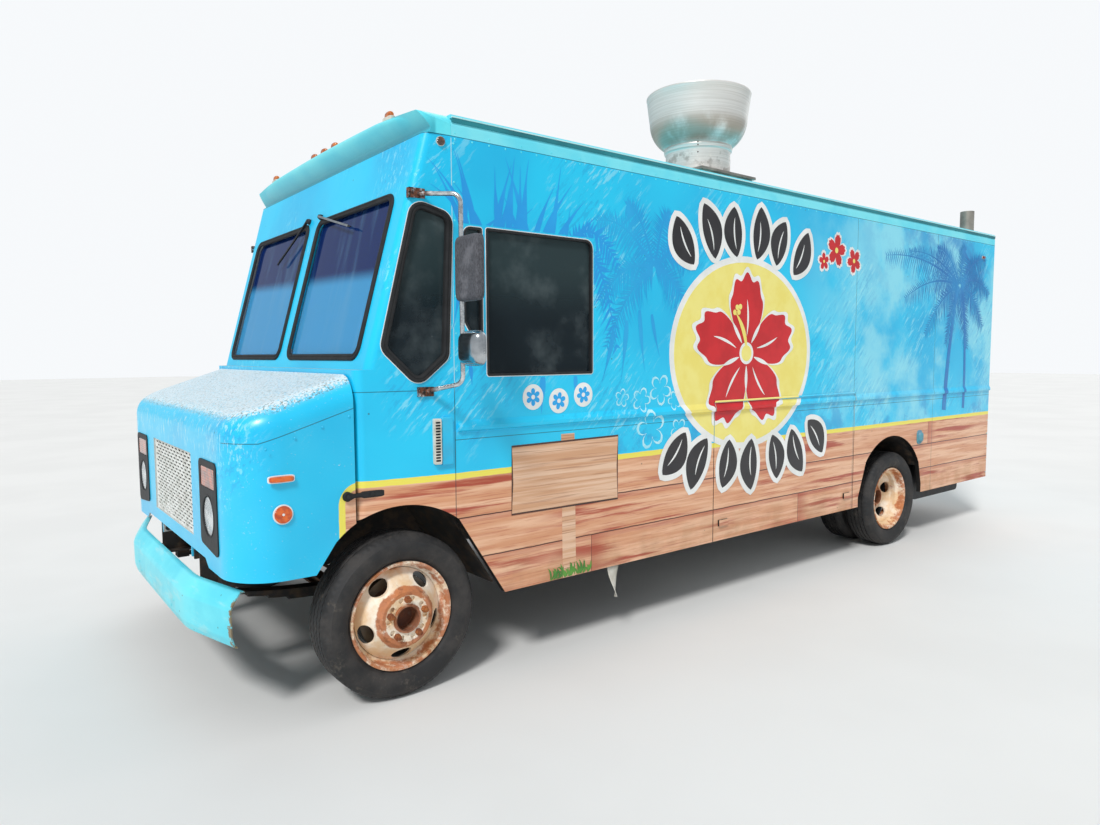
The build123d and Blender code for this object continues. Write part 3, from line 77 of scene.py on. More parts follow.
class Finish:
    # a material being wired: each call adds one node and gives its output

    def __init__(self, name):
        self.material = bpy.data.materials.new(name)
        self.material.use_nodes = True
        self.tree = self.material.node_tree
        self.shader = self.tree.nodes["Principled BSDF"]
        coordinates = self.node("ShaderNodeTexCoord")
        self.place = coordinates.outputs["Object"]
        self.normal = coordinates.outputs["Normal"]
        self.x, self.y, self.z = self.node("ShaderNodeSeparateXYZ", Vector=self.place).outputs

    def node(self, kind, **inputs):
        made = self.tree.nodes.new(kind)
        for key, value in inputs.items():
            self.feed(made.inputs[key], value)
        return made

    def feed(self, socket, value):
        if isinstance(value, bpy.types.NodeSocket):
            self.tree.links.new(value, socket)
        else:
            socket.default_value = linear(value) if isinstance(value, str) else value

    def math(self, operation, a, b=0.0, c=0.0):
        made = self.node("ShaderNodeMath")
        made.operation = operation
        for socket, value in zip(made.inputs, (a, b, c)):
            self.feed(socket, value)
        return made.outputs[0]

    def times(self, *factors):
        value = factors[0]
        for factor in factors[1:]:
            value = self.math("MULTIPLY", value, factor)
        return value

    def scaled(self, value, factor, shift):
        return self.math("MULTIPLY_ADD", value, factor, shift)

    def noise(self, scale, stretch=(1, 1, 1), detail=4, roughness=0.55, shift=0.0, turn=(0, 0, 0), place=None):
        moved = self.node("ShaderNodeMapping", Vector=place or self.place, Scale=stretch, Rotation=turn,
                          Location=(shift, shift, shift))
        made = self.node("ShaderNodeTexNoise", Vector=moved.outputs[0], Scale=scale, Detail=detail,
                         Roughness=roughness)
        return made.outputs["Fac"]

    def cells(self, scale):
        return self.node("ShaderNodeTexVoronoi", Vector=self.place, Scale=scale).outputs["Distance"]

    def between(self, value, low, high):
        # 0 at low, 1 at high, smooth in between
        made = self.node("ShaderNodeMapRange", Value=value)
        made.interpolation_type = "SMOOTHSTEP"
        made.inputs["From Min"].default_value = low
        made.inputs["From Max"].default_value = high
        return made.outputs["Result"]

    def patches(self, low, high, scale, **noise):
        # noise taken from 0 to 1 between two of its levels
        return self.between(self.noise(scale, **noise), low, high)

    def line(self, value, centre, half, soft=0.0015):
        # 1 on a line of a half width about centre
        away = self.math("ABSOLUTE", self.math("SUBTRACT", value, centre))
        return self.between(away, half + soft, half)

    def mix(self, amount, a, b):
        made = self.node("ShaderNodeMix")
        made.data_type = "RGBA"
        self.feed(made.inputs[0], amount)
        self.feed(made.inputs[6], a)
        self.feed(made.inputs[7], b)
        return made.outputs[2]

    def over(self, base, colour, *factors):
        # a colour laid over another, as strongly as the factors say
        return self.mix(self.times(*factors), base, colour)

    def distance(self, a, b):
        return self.math("SQRT", self.math("ADD", self.times(a, a), self.times(b, b)))

    def outward(self, centre):
        # above 0 where the surface faces away from a point
        away = self.node("ShaderNodeVectorMath")
        away.operation = "SUBTRACT"
        self.feed(away.inputs[0], self.place)
        self.feed(away.inputs[1], centre)
        dot = self.node("ShaderNodeVectorMath")
        dot.operation = "DOT_PRODUCT"
        self.feed(dot.inputs[0], away.outputs[0])
        self.feed(dot.inputs[1], self.normal)
        return dot.outputs["Value"]

    def bump(self, height, distance, strength):
        made = self.node("ShaderNodeBump", Height=height, Distance=distance, Strength=strength)
        self.feed(self.shader.inputs["Normal"], made.outputs[0])

    def finish(self, color, rough, metallic=0.0, **sockets):
        self.feed(self.shader.inputs["Base Color"], color)
        self.feed(self.shader.inputs["Roughness"], rough)
        self.feed(self.shader.inputs["Metallic"], metallic)
        for key, value in sockets.items():
            self.feed(self.shader.inputs[key.replace("_", " ")], value)
        return self.material


# Finishes

wrap = {
    "cyan": "16cdf7", "shade": "12bcec", "pale": "97e6f5", "deep": "1a8fd0", "stroke": "b4f2fb",
    "yellow": "f2e55c", "stripeLow": 1.013, "stripeHigh": 1.043, "woodFront": 0.262, "turnRadius": 0.07,
    "boardGaps": (0.612, 0.820), "wood": "efbf9b", "woodDark": "d99a72", "stain": "ab3a22", "gap": "351a12",
    "dust": "8d7050", "inside": "b9bdba", "seam": "0c3a48",
    "butts": ((-5.03, 0.820, 1.013), (-3.10, 0.40, 0.612), (-1.135, 0.40, 0.612)),      # ahead, low, high
    "sideSeams": (-3.812, -5.1), "dripSeamZ": 2.6235, "lowSeamZ": 1.204, "cabFoldZ": 1.445, "seamHalf": 0.0013,
    "hingeZ": (1.300, 1.325),
}
emblemDisc = {"x": at(-2.48), "z": 1.612, "a": 0.690, "b": 0.585}


def printedWrap(name, centre, worn=False):
    # printed vinyl: cyan with embossed brushed strokes above, painted pale and dark as their highlight and shade, a
    # yellow stripe, stained boards below
    f = Finish(name)
    w = wrap
    ground = f.mix(f.patches(0.42, 0.62, 0.8, detail=3), w["cyan"], w["shade"])
    rear = f.between(f.x, at(-2.7), at(-4.4))
    wash = f.times(rear, f.patches(0.40, 0.58, 1.3, detail=6, roughness=0.6, shift=3.0))
    ground = f.over(ground, w["pale"], wash, 0.85)
    high = f.times(f.between(f.x, at(-3.3), at(-5.4)), f.between(f.z, 1.6, 2.45))
    ground = f.over(ground, w["deep"], high, f.patches(0.42, 0.60, 2.3, detail=7, roughness=0.65, shift=8.0), 0.8)
    low = f.times(f.between(f.x, at(-1.0), at(-1.6)), f.between(f.z, 1.45, 1.08))
    ground = f.over(ground, w["deep"], low, f.patches(0.50, 0.62, 3.5, detail=7, roughness=0.7, shift=5.0), 0.55)
    tilted = f.node("ShaderNodeMapping", Vector=f.place, Rotation=(0.0, 0.75, 0.0)).outputs[0]
    brushed = f.noise(46, stretch=(1.0, 1.0, 0.16), detail=3, roughness=0.7, place=tilted)
    patch = f.patches(0.46, 0.60, 1.5, detail=3, shift=12.0)
    strokes = f.times(f.between(brushed, 0.55, 0.63), patch)
    # painted highlight and shade on the embossed strokes: pale along them, deep blue beside them
    ground = f.over(ground, w["stroke"], strokes, 0.40)
    strokeShade = f.times(f.between(brushed, 0.44, 0.37), patch)
    ground = f.over(ground, w["deep"], strokeShade, 0.35)

    # boards: grain stretched along the truck, shifted from board to board
    along = f.math("ADD", f.x, f.y)
    board = f.math("ADD", f.math("GREATER_THAN", f.z, w["boardGaps"][0]),
                   f.math("GREATER_THAN", f.z, w["boardGaps"][1]))
    grainPlace = f.node("ShaderNodeCombineXYZ", X=f.scaled(board, 3.7, along),
                        Y=f.times(board, 5.1), Z=f.z).outputs[0]
    grain = f.noise(1.0, stretch=(1.4, 1, 30), detail=5, place=grainPlace)
    wood = f.mix(f.between(grain, 0.35, 0.65), w["wood"], w["woodDark"])
    fine = f.noise(1.0, stretch=(4, 1, 190), detail=3, place=grainPlace)
    wood = f.over(wood, w["stain"], f.between(fine, 0.56, 0.66), 0.45)
    stain = f.noise(1.0, stretch=(0.8, 1, 17), detail=6, roughness=0.62, shift=2.0, place=grainPlace)
    where = f.patches(0.40, 0.58, 1.0, stretch=(0.7, 1, 3), detail=2, shift=9.0, place=grainPlace)
    wood = f.over(wood, w["stain"], f.between(stain, 0.50, 0.61), where, 0.92)
    for ahead, low, high in w["butts"]:
        butt = f.times(f.between(f.z, low - 0.001, low), f.between(f.z, high + 0.001, high))
        wood = f.over(wood, w["gap"], f.line(f.x, at(ahead), 0.0014), butt)
        dark = f.times(f.between(f.x, at(ahead - 0.16), at(ahead)), f.between(f.x, at(ahead) + 0.001, at(ahead)), butt)
        wood = f.over(wood, w["stain"], dark, 0.55)
    ragged = f.scaled(f.noise(9.0, stretch=(1, 1, 0.2), detail=3), 0.007, f.z)
    for height in w["boardGaps"]:
        wood = f.over(wood, w["gap"], f.line(ragged, height + 0.0035, 0.0028), 0.95)
        wood = f.over(wood, w["stain"], f.line(ragged, height - 0.012, 0.010, 0.008), 0.35)

    # the stripe runs along the boards and turns down at their front end round a small corner
    cornerX = at(w["woodFront"]) - w["turnRadius"]
    cornerZ = w["stripeLow"] - w["turnRadius"]
    overX = f.math("MAXIMUM", f.math("SUBTRACT", f.x, cornerX), 0.0)
    overZ = f.math("MAXIMUM", f.math("SUBTRACT", f.z, cornerZ), 0.0)
    reach = f.distance(overX, overZ)
    edge = f.scaled(f.noise(14.0, detail=3), 0.006, f.math("SUBTRACT", reach, w["turnRadius"] + 0.003))
    stripeWidth = w["stripeHigh"] - w["stripeLow"]
    colour = f.mix(f.between(edge, stripeWidth + 0.0015, stripeWidth), ground, w["yellow"])
    colour = f.mix(f.between(edge, 0.0015, 0.0), colour, wood)

    # seams of the panels underneath, road dust low down, small dark specks
    if worn:
        # the hood's top skin laps over its fender along a slanting line
        slope = f.math("MAXIMUM", f.math("SUBTRACT", at(0.62), f.x), 0.0)
        seamZ = f.math("SUBTRACT", f.scaled(slope, -0.323, f.z), 1.245)
        seams = f.times(f.line(seamZ, 0.0, w["seamHalf"]), f.between(f.math("ABSOLUTE", f.y), 0.93, 0.96))
    else:
        behind = f.between(f.x, at(-0.266), at(-0.270))
        seams = f.math("MAXIMUM", f.line(f.z, w["dripSeamZ"], 0.0014),
                       f.times(f.line(f.z, w["lowSeamZ"], 0.0012), behind))
        cabFold = f.times(f.line(f.z, w["cabFoldZ"], 0.0012), f.between(f.x, at(-0.12), at(-0.10)))
        seams = f.math("MAXIMUM", seams, cabFold)
        for ahead in w["sideSeams"]:
            sideSeam = f.times(f.line(f.x, at(ahead), w["seamHalf"]), f.between(f.z, 2.70, 2.69))
            seams = f.math("MAXIMUM", seams, sideSeam)
        cabSeam = f.line(f.x, at(-0.2695), w["seamHalf"])
        seams = f.math("MAXIMUM", seams, f.times(cabSeam, f.between(f.z, 1.50, 1.40)))
        sun = emblemDisc
        dx = f.math("DIVIDE", f.math("SUBTRACT", f.x, sun["x"]), sun["a"])
        dz = f.math("DIVIDE", f.math("SUBTRACT", f.z, sun["z"]), sun["b"])
        within = f.between(f.math("ADD", f.times(dx, dx), f.times(dz, dz)), 1.0, 0.99)
        low, high = w["hingeZ"]
        hinge = f.times(f.between(f.z, low, low + 0.001), f.between(f.z, high, high - 0.001), f.between(f.y, 1.0, 1.1))
        colour = f.over(colour, "f6ea86", within, hinge)
        # painted highlight: a pale line along the cab seam's edge, from above the cab's fold up to the drip seam
        colour = f.over(colour, "d3f5fb", cabSeam, f.between(f.z, 1.40, 1.50), f.between(f.z, 2.62, 2.61), 0.8)
    colour = f.over(colour, w["seam"], seams, 0.75)
    dust = f.times(f.between(f.z, 0.72, 0.40), f.patches(0.38, 0.66, 5.0, detail=6, shift=4.0))
    colour = f.over(colour, w["dust"], dust, 0.28)
    specks = f.times(f.between(f.cells(9.0), 0.055, 0.03), f.patches(0.5, 0.56, 2.0, shift=1.0))
    colour = f.over(colour, "3a2c22", specks, 0.6)
    rough = f.scaled(dust, 0.35, f.scaled(f.noise(7.0), 0.16, 0.24))
    if worn:
        # the print is worn to white over the sloping top, in grit that thins out over the shoulders
        facing = f.node("ShaderNodeSeparateXYZ", Vector=f.normal).outputs[2]
        inner = f.between(facing, 0.50, 0.96)
        drift = f.scaled(f.math("SUBTRACT", f.noise(3.0, detail=6), 0.5), 0.45, inner)
        grit = f.noise(80.0, detail=3, roughness=0.8)
        bare = f.between(f.scaled(drift, 0.30, grit), 0.66, 0.74)
        colour = f.over(colour, "b4e2ee", f.between(drift, -0.1, 0.9), 0.5)
        colour = f.over(colour, "e4eaec", bare, 0.85)
        specks = f.times(f.between(drift, 0.10, 0.40), f.between(drift, 1.45, 0.70),
                         f.patches(0.54, 0.60, 95.0, detail=3, roughness=0.7, shift=6.0))
        colour = f.over(colour, "69705f", specks, 0.85)
        forehead = f.times(f.between(f.z, 1.14, 1.22), f.between(f.x, at(0.60), at(0.70)))
        scratches = f.patches(0.56, 0.62, 75.0, stretch=(1.0, 1.0, 0.25), turn=(0.5, 0.0, 0.0), shift=3.0)
        colour = f.over(colour, "c9eef4", forehead, scratches, 0.5)
        rough = f.scaled(bare, 0.4, rough)
    inside = f.between(f.outward(centre), 0.004, -0.004)
    colour = f.mix(inside, colour, w["inside"])
    facingOut = f.math("ABSOLUTE", f.node("ShaderNodeSeparateXYZ", Vector=f.normal).outputs[1])
    archEdge = f.times(f.between(facingOut, 0.5, 0.3), f.between(f.z, 1.02, 1.0), f.between(f.x, at(0.7), at(0.6)))
    colour = f.mix(archEdge, colour, "1a1918")
    f.bump(f.math("ADD", f.times(strokes, 0.0 if worn else 0.3), f.noise(2.2, detail=2)), 0.0035, 0.55)
    return f.finish(colour, rough, 0.0, Coat_Weight=0.12, Coat_Roughness=0.12)


def sheetPaint(name, colour, second, rough, dirtAmount, dirt="7a6650", chips=0.0, metallic=0.0, scale=3.0):
    # painted or bare sheet: two tones drifting into each other, chips at a fine scale, more dirt lower down
    f = Finish(name)
    tone = f.mix(f.patches(0.38, 0.64, scale, detail=5), colour, second)
    if chips:
        flaw = f.times(f.patches(0.66, 0.70, scale * 16, detail=4, roughness=0.7),
                       f.patches(0.42, 0.60, scale * 1.7, shift=5.0))
        tone = f.over(tone, "b9a58c", flaw, chips)
    soil = f.times(f.between(f.z, 3.0, 0.0), f.patches(0.42, 0.68, scale * 2.4, detail=7, roughness=0.65, shift=7.0))
    tone = f.over(tone, dirt, soil, dirtAmount)
    f.bump(f.noise(scale * 30, detail=3), 0.0006, 0.35)
    return f.finish(tone, f.scaled(soil, 0.25, f.scaled(f.noise(scale * 4), 0.12, rough)),
                    metallic)


def grain(name, colour, second, rough, scale, metallic=0.0, bump=0.0004):
    # a plain moulding with a fine grain
    f = Finish(name)
    tone = f.mix(f.patches(0.35, 0.68, scale * 0.12, detail=4), colour, second)
    f.bump(f.noise(scale, detail=2), bump, 0.5)
    return f.finish(tone, f.scaled(f.noise(scale * 0.3), 0.16, rough), metallic)


def rustyRim(name, axleX, deepY):
    # cream paint, rusted at the flange, round the nuts and in the well, near black inboard of deepY
    f = Finish(name)
    dx = f.math("SUBTRACT", f.x, axleX)
    dz = f.math("SUBTRACT", f.z, axleZ)
    radius = f.distance(dx, dz)
    blotch = f.noise(7.0, detail=6, roughness=0.65)
    paint = f.mix(f.between(blotch, 0.35, 0.62), "f7ecda", "e8c69a")
    nearNuts = f.line(radius, 0.128, 0.012, 0.016)
    nearFlange = f.between(radius, 0.205, 0.245)
    nearBore = f.between(radius, 0.078, 0.064)
    share = f.math("MAXIMUM", f.math("MAXIMUM", nearNuts, f.times(nearFlange, 0.75)), nearBore)
    rust = f.between(f.math("ADD", f.times(share, 0.34), f.noise(16.0, detail=7, roughness=0.7, shift=2.0)), 0.62, 0.80)
    tone = f.over(paint, f.mix(f.noise(30.0, detail=5), "d67a38", "8d4522"), rust, 0.88)
    tone = f.over(tone, "4a2a20", f.between(radius, 0.075, 0.045), 0.9)
    streak = f.times(f.patches(0.52, 0.64, 22.0, detail=6, roughness=0.7, shift=8.0), f.between(radius, 0.19, 0.12))
    tone = f.over(tone, "7a4426", streak, 0.6)
    # near black over everything inboard of deepY, deep inside the wheel
    deep = f.between(f.math("ABSOLUTE", f.y), deepY + 0.012, deepY)
    tone = f.over(tone, "1c1613", deep, 0.94)
    f.bump(f.math("ADD", rust, f.noise(60.0)), 0.0007, 0.5)
    return f.finish(tone, f.scaled(rust, 0.35, 0.42))


def tyreRubber(name):
    # black rubber greyed by dust, brown mud towards the tread
    f = Finish(name)
    dust = f.patches(0.40, 0.66, 6.0, detail=7, roughness=0.65)
    tone = f.mix(dust, "212122", "3f3c3a")
    mud = f.patches(0.56, 0.74, 11.0, detail=8, roughness=0.75, shift=3.0)
    tone = f.over(tone, "857a6c", mud, 0.4)
    f.bump(f.noise(90.0, detail=3), 0.0006, 0.6)
    return f.finish(tone, f.scaled(dust, 0.2, 0.66))


def windowGlass(name, side, sideLow, band, pale):
    # tinted side glass; the windshield's colour is a painted reflection, pale sky blue low rising into a navy band at
    # the top; both with a film of dust
    f = Finish(name)
    film = f.patches(0.45, 0.75, 4.0, detail=6)
    tone = f.mix(f.between(f.z, 1.75, 2.10), sideLow, side)
    front = f.times(f.between(f.math("ABSOLUTE", f.y), 1.03, 1.01), f.between(f.x, at(-0.35), at(-0.30)))
    edge = f.scaled(f.y, 0.03, f.z)
    # painted reflection on the windshield: pale sky blue below, navy band above
    shade = f.mix(f.between(edge, 1.98, 2.06), pale, band)
    haze = f.patches(0.48, 0.72, 1.0, stretch=(3, 9, 1.2), detail=4, shift=3.0)
    shade = f.over(shade, "7fbadc", haze, 0.22)
    tone = f.mix(front, f.over(tone, "a9b8ba", film, 0.22), shade)
    return f.finish(tone, f.scaled(film, 0.08, 0.03), 0.0, Transmission_Weight=0.35, IOR=1.22)


def lens(name, colour, second, pitch=0.0065, axis="z", metallic=0.0):
    # moulded lamp lens with fine ribs across one axis
    f = Finish(name)
    ribs = f.math("SINE", f.times(getattr(f, axis), 2 * math.pi / pitch))
    tone = f.mix(f.patches(0.4, 0.6, 25.0, detail=3), colour, second)
    tone = f.over(tone, second, f.between(ribs, 0.2, 0.9), 0.35)
    f.bump(ribs, 0.0006, 0.6)
    return f.finish(tone, 0.16, metallic, Coat_Weight=0.6)


def spunMetal(name):
    # spun sheet: fine rings round the bowl, brown under its belly as a painted reflection of the ground, pale salts on
    # the neck
    f = Finish(name)
    rings = f.noise(1.0, stretch=(2, 2, 160), detail=4)
    tone = f.mix(f.between(rings, 0.30, 0.70), "efebe6", "dcd7d0")
    bellyReflection = f.times(f.between(f.z, 3.34, 3.22), f.between(f.z, 3.10, 3.15))
    stain = f.patches(0.30, 0.54, 4.0, stretch=(1, 1, 0.6), detail=6, roughness=0.6)
    # painted reflection: the brown of the ground under the bowl's belly
    tone = f.over(tone, "a08b78", bellyReflection, stain, 0.75)
    neck = f.between(f.z, 3.08, 3.04)
    salts = f.patches(0.56, 0.62, 34.0, detail=5, roughness=0.7, shift=2.0)
    tone = f.over(tone, "efece4", neck, salts, 0.8)
    tone = f.over(tone, "7b746a", neck, f.patches(0.52, 0.64, 11.0, detail=5, shift=6.0), 0.5)
    f.bump(rings, 0.0001, 0.3)
    return f.finish(tone, f.scaled(f.noise(9.0), 0.18, 0.32), 0.5)


def hazardStripes(name):
    # black step, its ends striped in yellow
    f = Finish(name)
    slant = f.math("FRACT", f.math("DIVIDE", f.math("ADD", f.y, f.z), 0.085))
    end = f.between(f.math("ABSOLUTE", f.y), 0.70, 0.705)
    stripe = f.times(end, f.line(slant, 0.5, 0.25, 0.02))
    base = f.mix(f.patches(0.42, 0.64, 9.0, detail=6), "1f1e1d", "3a322b")
    tone = f.mix(stripe, base, "e8b32a")
    tone = f.over(tone, "6b5743", f.patches(0.60, 0.66, 20.0, detail=6, shift=4.0), 0.7)
    f.bump(f.noise(60.0, detail=3), 0.0006, 0.4)
    return f.finish(tone, f.scaled(f.noise(14.0), 0.15, 0.5))


def rustyTube(name):
    # bright tube, rusted brown and black where its feet are bolted to the cab
    f = Finish(name)
    tone = f.mix(f.patches(0.4, 0.6, 40.0, detail=3), "dcdfe0", "b6babd")
    foot = f.between(f.math("ABSOLUTE", f.y), 1.235, 1.195)
    rust = f.times(foot, f.patches(0.30, 0.50, 55.0, detail=5, roughness=0.7))
    tone = f.mix(rust, tone, f.mix(f.patches(0.42, 0.58, 70.0, shift=2.0), "6e3f28", "1d1816"))
    pits = f.patches(0.66, 0.70, 150.0, detail=3, shift=4.0)
    tone = f.over(tone, "8a5a3c", pits, 0.5)
    f.bump(f.noise(90.0), 0.0003, 0.4)
    return f.finish(tone, f.scaled(rust, 0.5, 0.2), f.scaled(rust, -0.8, 0.9))


def bumperPaint(name):
    # chipped turquoise paint, scraped to rust along its ends and lower edge, with small dark chips
    f = Finish(name)
    tone = f.mix(f.patches(0.38, 0.64, 3.0, detail=5), "6fe4f0", "5ad6e8")
    lowFace = f.between(f.z, 0.52, 0.40)
    scuffs = f.patches(0.52, 0.66, 1.0, stretch=(14, 3.2, 16), detail=6, roughness=0.7)
    tone = f.over(tone, "b5e4e6", scuffs, 0.4)
    grime = f.times(lowFace, f.patches(0.44, 0.66, 6.0, detail=6, shift=3.0))
    tone = f.over(tone, "8fb0ac", grime, 0.35)
    ends = f.between(f.math("ABSOLUTE", f.y), 0.955, 0.995)
    under = f.between(f.z, 0.380, 0.368)
    worn = f.math("MAXIMUM", ends, under)
    rust = f.between(f.scaled(worn, 0.28, f.noise(24.0, detail=6, roughness=0.7, shift=6.0)), 0.70, 0.78)
    tone = f.over(tone, f.mix(f.noise(60.0), "9c7a2c", "6b3c1e"), rust, 0.9)
    chips = f.times(f.between(f.cells(16.0), 0.085, 0.06), f.patches(0.48, 0.54, 3.0, shift=1.0))
    tone = f.over(tone, "3b4a48", chips, 0.85)
    f.bump(f.noise(5.0, detail=2), 0.002, 0.3)
    return f.finish(tone, f.scaled(f.noise(12.0), 0.15, 0.34), 0.0, Coat_Weight=0.1)


def capPaint(name, colour, second):
    # two turquoise tones, with painted highlight over the nose and painted shade down into the cove beneath it
    f = Finish(name)
    tone = f.mix(f.patches(0.38, 0.64, 3.0, detail=5), colour, second)
    front = f.between(f.x, at(-0.20), at(-0.185))
    cove = f.times(front, f.between(f.z, 2.728, 2.640))
    # painted shade: darker teal down into the cove under the nose
    tone = f.over(tone, "2b9fb4", cove, 0.70)
    # painted highlight: paler along the top of the nose
    tone = f.over(tone, "a5f3f6", front, f.between(f.z, 2.715, 2.745), 0.35)
    specks = f.times(f.between(f.cells(11.0), 0.05, 0.03), f.patches(0.5, 0.56, 2.0, shift=1.0))
    tone = f.over(tone, "4b5a52", specks, 0.5)
    f.bump(f.noise(90.0, detail=3), 0.0006, 0.35)
    return f.finish(tone, f.scaled(f.noise(12.0), 0.14, 0.26), 0.0, Coat_Weight=0.15)


def felt(name, colour, second):
    # a worn flocked back: fine streaky fibres
    f = Finish(name)
    fibres = f.noise(120.0, stretch=(1, 1.6, 0.5), detail=5, roughness=0.75)
    tone = f.mix(f.between(fibres, 0.36, 0.64), colour, second)
    tone = f.over(tone, "8f8f95", f.patches(0.50, 0.68, 9.0, detail=6, shift=2.0), 0.35)
    f.bump(fibres, 0.0009, 0.8)
    return f.finish(tone, 0.86)


def printed(name, colour, second, scale=7.0):
    # one printed colour of the wrap
    f = Finish(name)
    tone = f.mix(f.patches(0.36, 0.66, scale, detail=5), colour, second)
    f.bump(f.noise(2.2, detail=2), 0.003, 0.4)
    return f.finish(tone, f.scaled(f.noise(7.0), 0.14, 0.30), 0.0, Coat_Weight=0.10)


def boardWood(name, colour, second):
    # pale sawn wood, its grain running along the board
    f = Finish(name)
    lines = f.noise(1.0, stretch=(1.2, 1, 34), detail=5, roughness=0.6, shift=4.0)
    tone = f.mix(f.between(lines, 0.36, 0.64), colour, second)
    tone = f.over(tone, "9a5b39", f.patches(0.55, 0.66, 1.0, stretch=(2, 1, 120), detail=2), 0.5)
    f.bump(lines, 0.0004, 0.4)
    return f.finish(tone, f.scaled(f.noise(7.0), 0.14, 0.30), 0.0, Coat_Weight=0.2)


finishes = {
    "bodyWrap": printedWrap("printed_wrap_body", (at(-2.6), 0.0, 1.6)),
    "hoodWrap": printedWrap("printed_wrap_hood", (at(0.35), 0.0, 0.85), worn=True),
    "cap": capPaint("turquoise_cap_paint", "52dff0", "6ae9f4"),
    "roof": sheetPaint("roof_coating", "66e0f4", "80e9f6", 0.40, 0.15, chips=0.2),
    "bumper": bumperPaint("turquoise_bumper_paint"),
    "grille": sheetPaint("white_grille_enamel", "eef0ec", "d9dcd6", 0.40, 0.35, chips=0.6, scale=8.0),
    "chassis": sheetPaint("chassis_black", "1b1a1a", "2a2624", 0.62, 0.55, "6f5a45", scale=6.0),
    "iron": sheetPaint("rusty_iron", "3a2a22", "5a3826", 0.78, 0.5, "74604a", scale=9.0),
    "steel": sheetPaint("brushed_galley_steel", "b4b7b8", "9da2a4", 0.30, 0.1, metallic=0.9),
    "aluminium": sheetPaint("spun_aluminium", "b9b3a8", "8f8a82", 0.34, 0.35, "6b5a48", metallic=0.85, scale=5.0),
    "plate": sheetPaint("floor_plate", "8b8d8e", "74777a", 0.45, 0.5, metallic=0.6),
    "plastic": grain("black_plastic", "17181a", "232427", 0.50, 140.0),
    "rubber": grain("window_rubber", "131416", "1f2022", 0.62, 120.0),
    "chrome": grain("mirror_tube_chrome", "c9cdd0", "9fa4a8", 0.14, 60.0, metallic=1.0),
    "mirrorShell": felt("mirror_back_felt", "3f4045", "5d5e64"),
    "mirrorGlass": grain("mirror_glass", "d4d8da", "c3c9cc", 0.04, 20.0, metallic=1.0, bump=0.0001),
    "spun": spunMetal("spun_fan_metal"),
    "hazard": hazardStripes("hazard_step_paint"),
    # the gutter channel's dark teal is painted shade under the gutter's lip
    "gutterShade": sheetPaint("gutter_dark_teal", "17737d", "1f8792", 0.45, 0.3),
    "gutterLip": sheetPaint("gutter_lip_paint", "c9f3f4", "a9e8ec", 0.38, 0.15, chips=0.4),
    "tealPlug": grain("socket_cover_teal", "3f9aa8", "6f8fa4", 0.45, 60.0),
    "curtain": grain("window_curtain", "8f9c9a", "74817f", 0.85, 30.0),
    "tyre": tyreRubber("tyre_rubber"),
    "frontRim": rustyRim("front_rim_paint", frontAxleX, 1.066),
    "rearRim": rustyRim("rear_rim_paint", rearAxleX, 0.898),
    "nutRust": sheetPaint("nut_rust", "7a3f22", "a3602f", 0.8, 0.2, scale=30.0),
    "glass": windowGlass("tinted_window_glass", "3c4d50", "242f35", "12306e", "4cabe0"),
    "clearLens": lens("clear_lamp_lens", "dfe4e6", "a9b3b8", 0.011, "y", 0.35),
    "amberLens": lens("amber_lamp_lens", "f0701c", "c2450c"),
    "turnLens": lens("turn_lamp_lens", "c4541c", "6f260c", 0.012),
    "agedLens": lens("aged_cab_lamp_lens", "6a4630", "3a2c26"),
    "mirrorTube": rustyTube("mirror_tube_metal"),
    "pocketBlue": sheetPaint("vent_pocket_cyan", "2cc6ee", "25b6e2", 0.35, 0.2),
    "beaconLens": lens("roof_lamp_lens", "d9761f", "a04a12", 0.012, "y"),
    "redLens": lens("red_lamp_lens", "a0171b", "6d0c11"),
    "lampWhite": grain("white_lamp_base", "d9d6cb", "b8b3a4", 0.5, 90.0),
    "vinylSeat": grain("seat_vinyl", "1c1d20", "2a2b2e", 0.46, 180.0, bump=0.0008),
    "printWhite": printed("print_white", "f4f5f2", "e6e8e4"),
    "printYellow": printed("print_pale_yellow", "f6ea86", "f2e273"),
    "printRed": printed("print_red", "d41a22", "c4131c"),
    "printBlack": printed("print_black", "1f1d20", "2a282b"),
    "printPalm": printed("print_palm_blue", "1ea9ee", "1a9ce6", scale=3.0),
    "printPalmSoft": printed("print_palm_soft_blue", "22b2ea", "1ba2e2", scale=2.0),
    "printPalmDark": printed("print_palm_dark_blue", "1479c0", "1b93d2", scale=3.0),
    "printGrass": printed("print_grass", "5b9a35", "3f7a2a", scale=20.0),
    "printPale": printed("print_pale_blue", "9fe6f7", "c4f2fa", scale=14.0),
    "boardWood": boardWood("print_board_wood", "e9c3a4", "d3a079"),
    "boardEdge": boardWood("print_board_edge", "5b3320", "3a2016"),
}
print("finishes wired:", len(finishes))

slotFinish = {
    "body_paint": "bodyWrap", "cap_paint": "cap", "bumper_paint": "bumper", "hood_paint": "hoodWrap",
    "roof_paint": "roof", "grille_paint": "grille", "frame_black": "chassis", "axle_iron": "iron",
    "engine_iron": "iron", "exhaust_steel": "iron", "tank_black": "plastic", "floor_plate": "plate",
    "galley_steel": "steel", "bare_aluminium": "aluminium", "glass": "glass", "rubber": "rubber",
    "tyre": "tyre", "lamp_clear": "clearLens", "lamp_amber": "amberLens", "lamp_red": "amberLens",
    "black_plastic": "plastic", "mirror_chrome": "chrome", "mirror_shell": "mirrorShell",
    "seat_vinyl": "vinylSeat", "rim_paint": "frontRim",
}
for part in frame["record"]["subparts"]:
    node = nodes[part["node"]]
    key = slotFinish[part["material_slot"]]
    key = {"rear_rims_left": "rearRim", "rear_rims_right": "rearRim", "fan_bowl": "spun", "mirror_arms": "mirrorTube",
           "rear_step": "hazard"}.get(part["node"], key)
    node.data.materials.clear()
    node.data.materials.append(finishes[key])
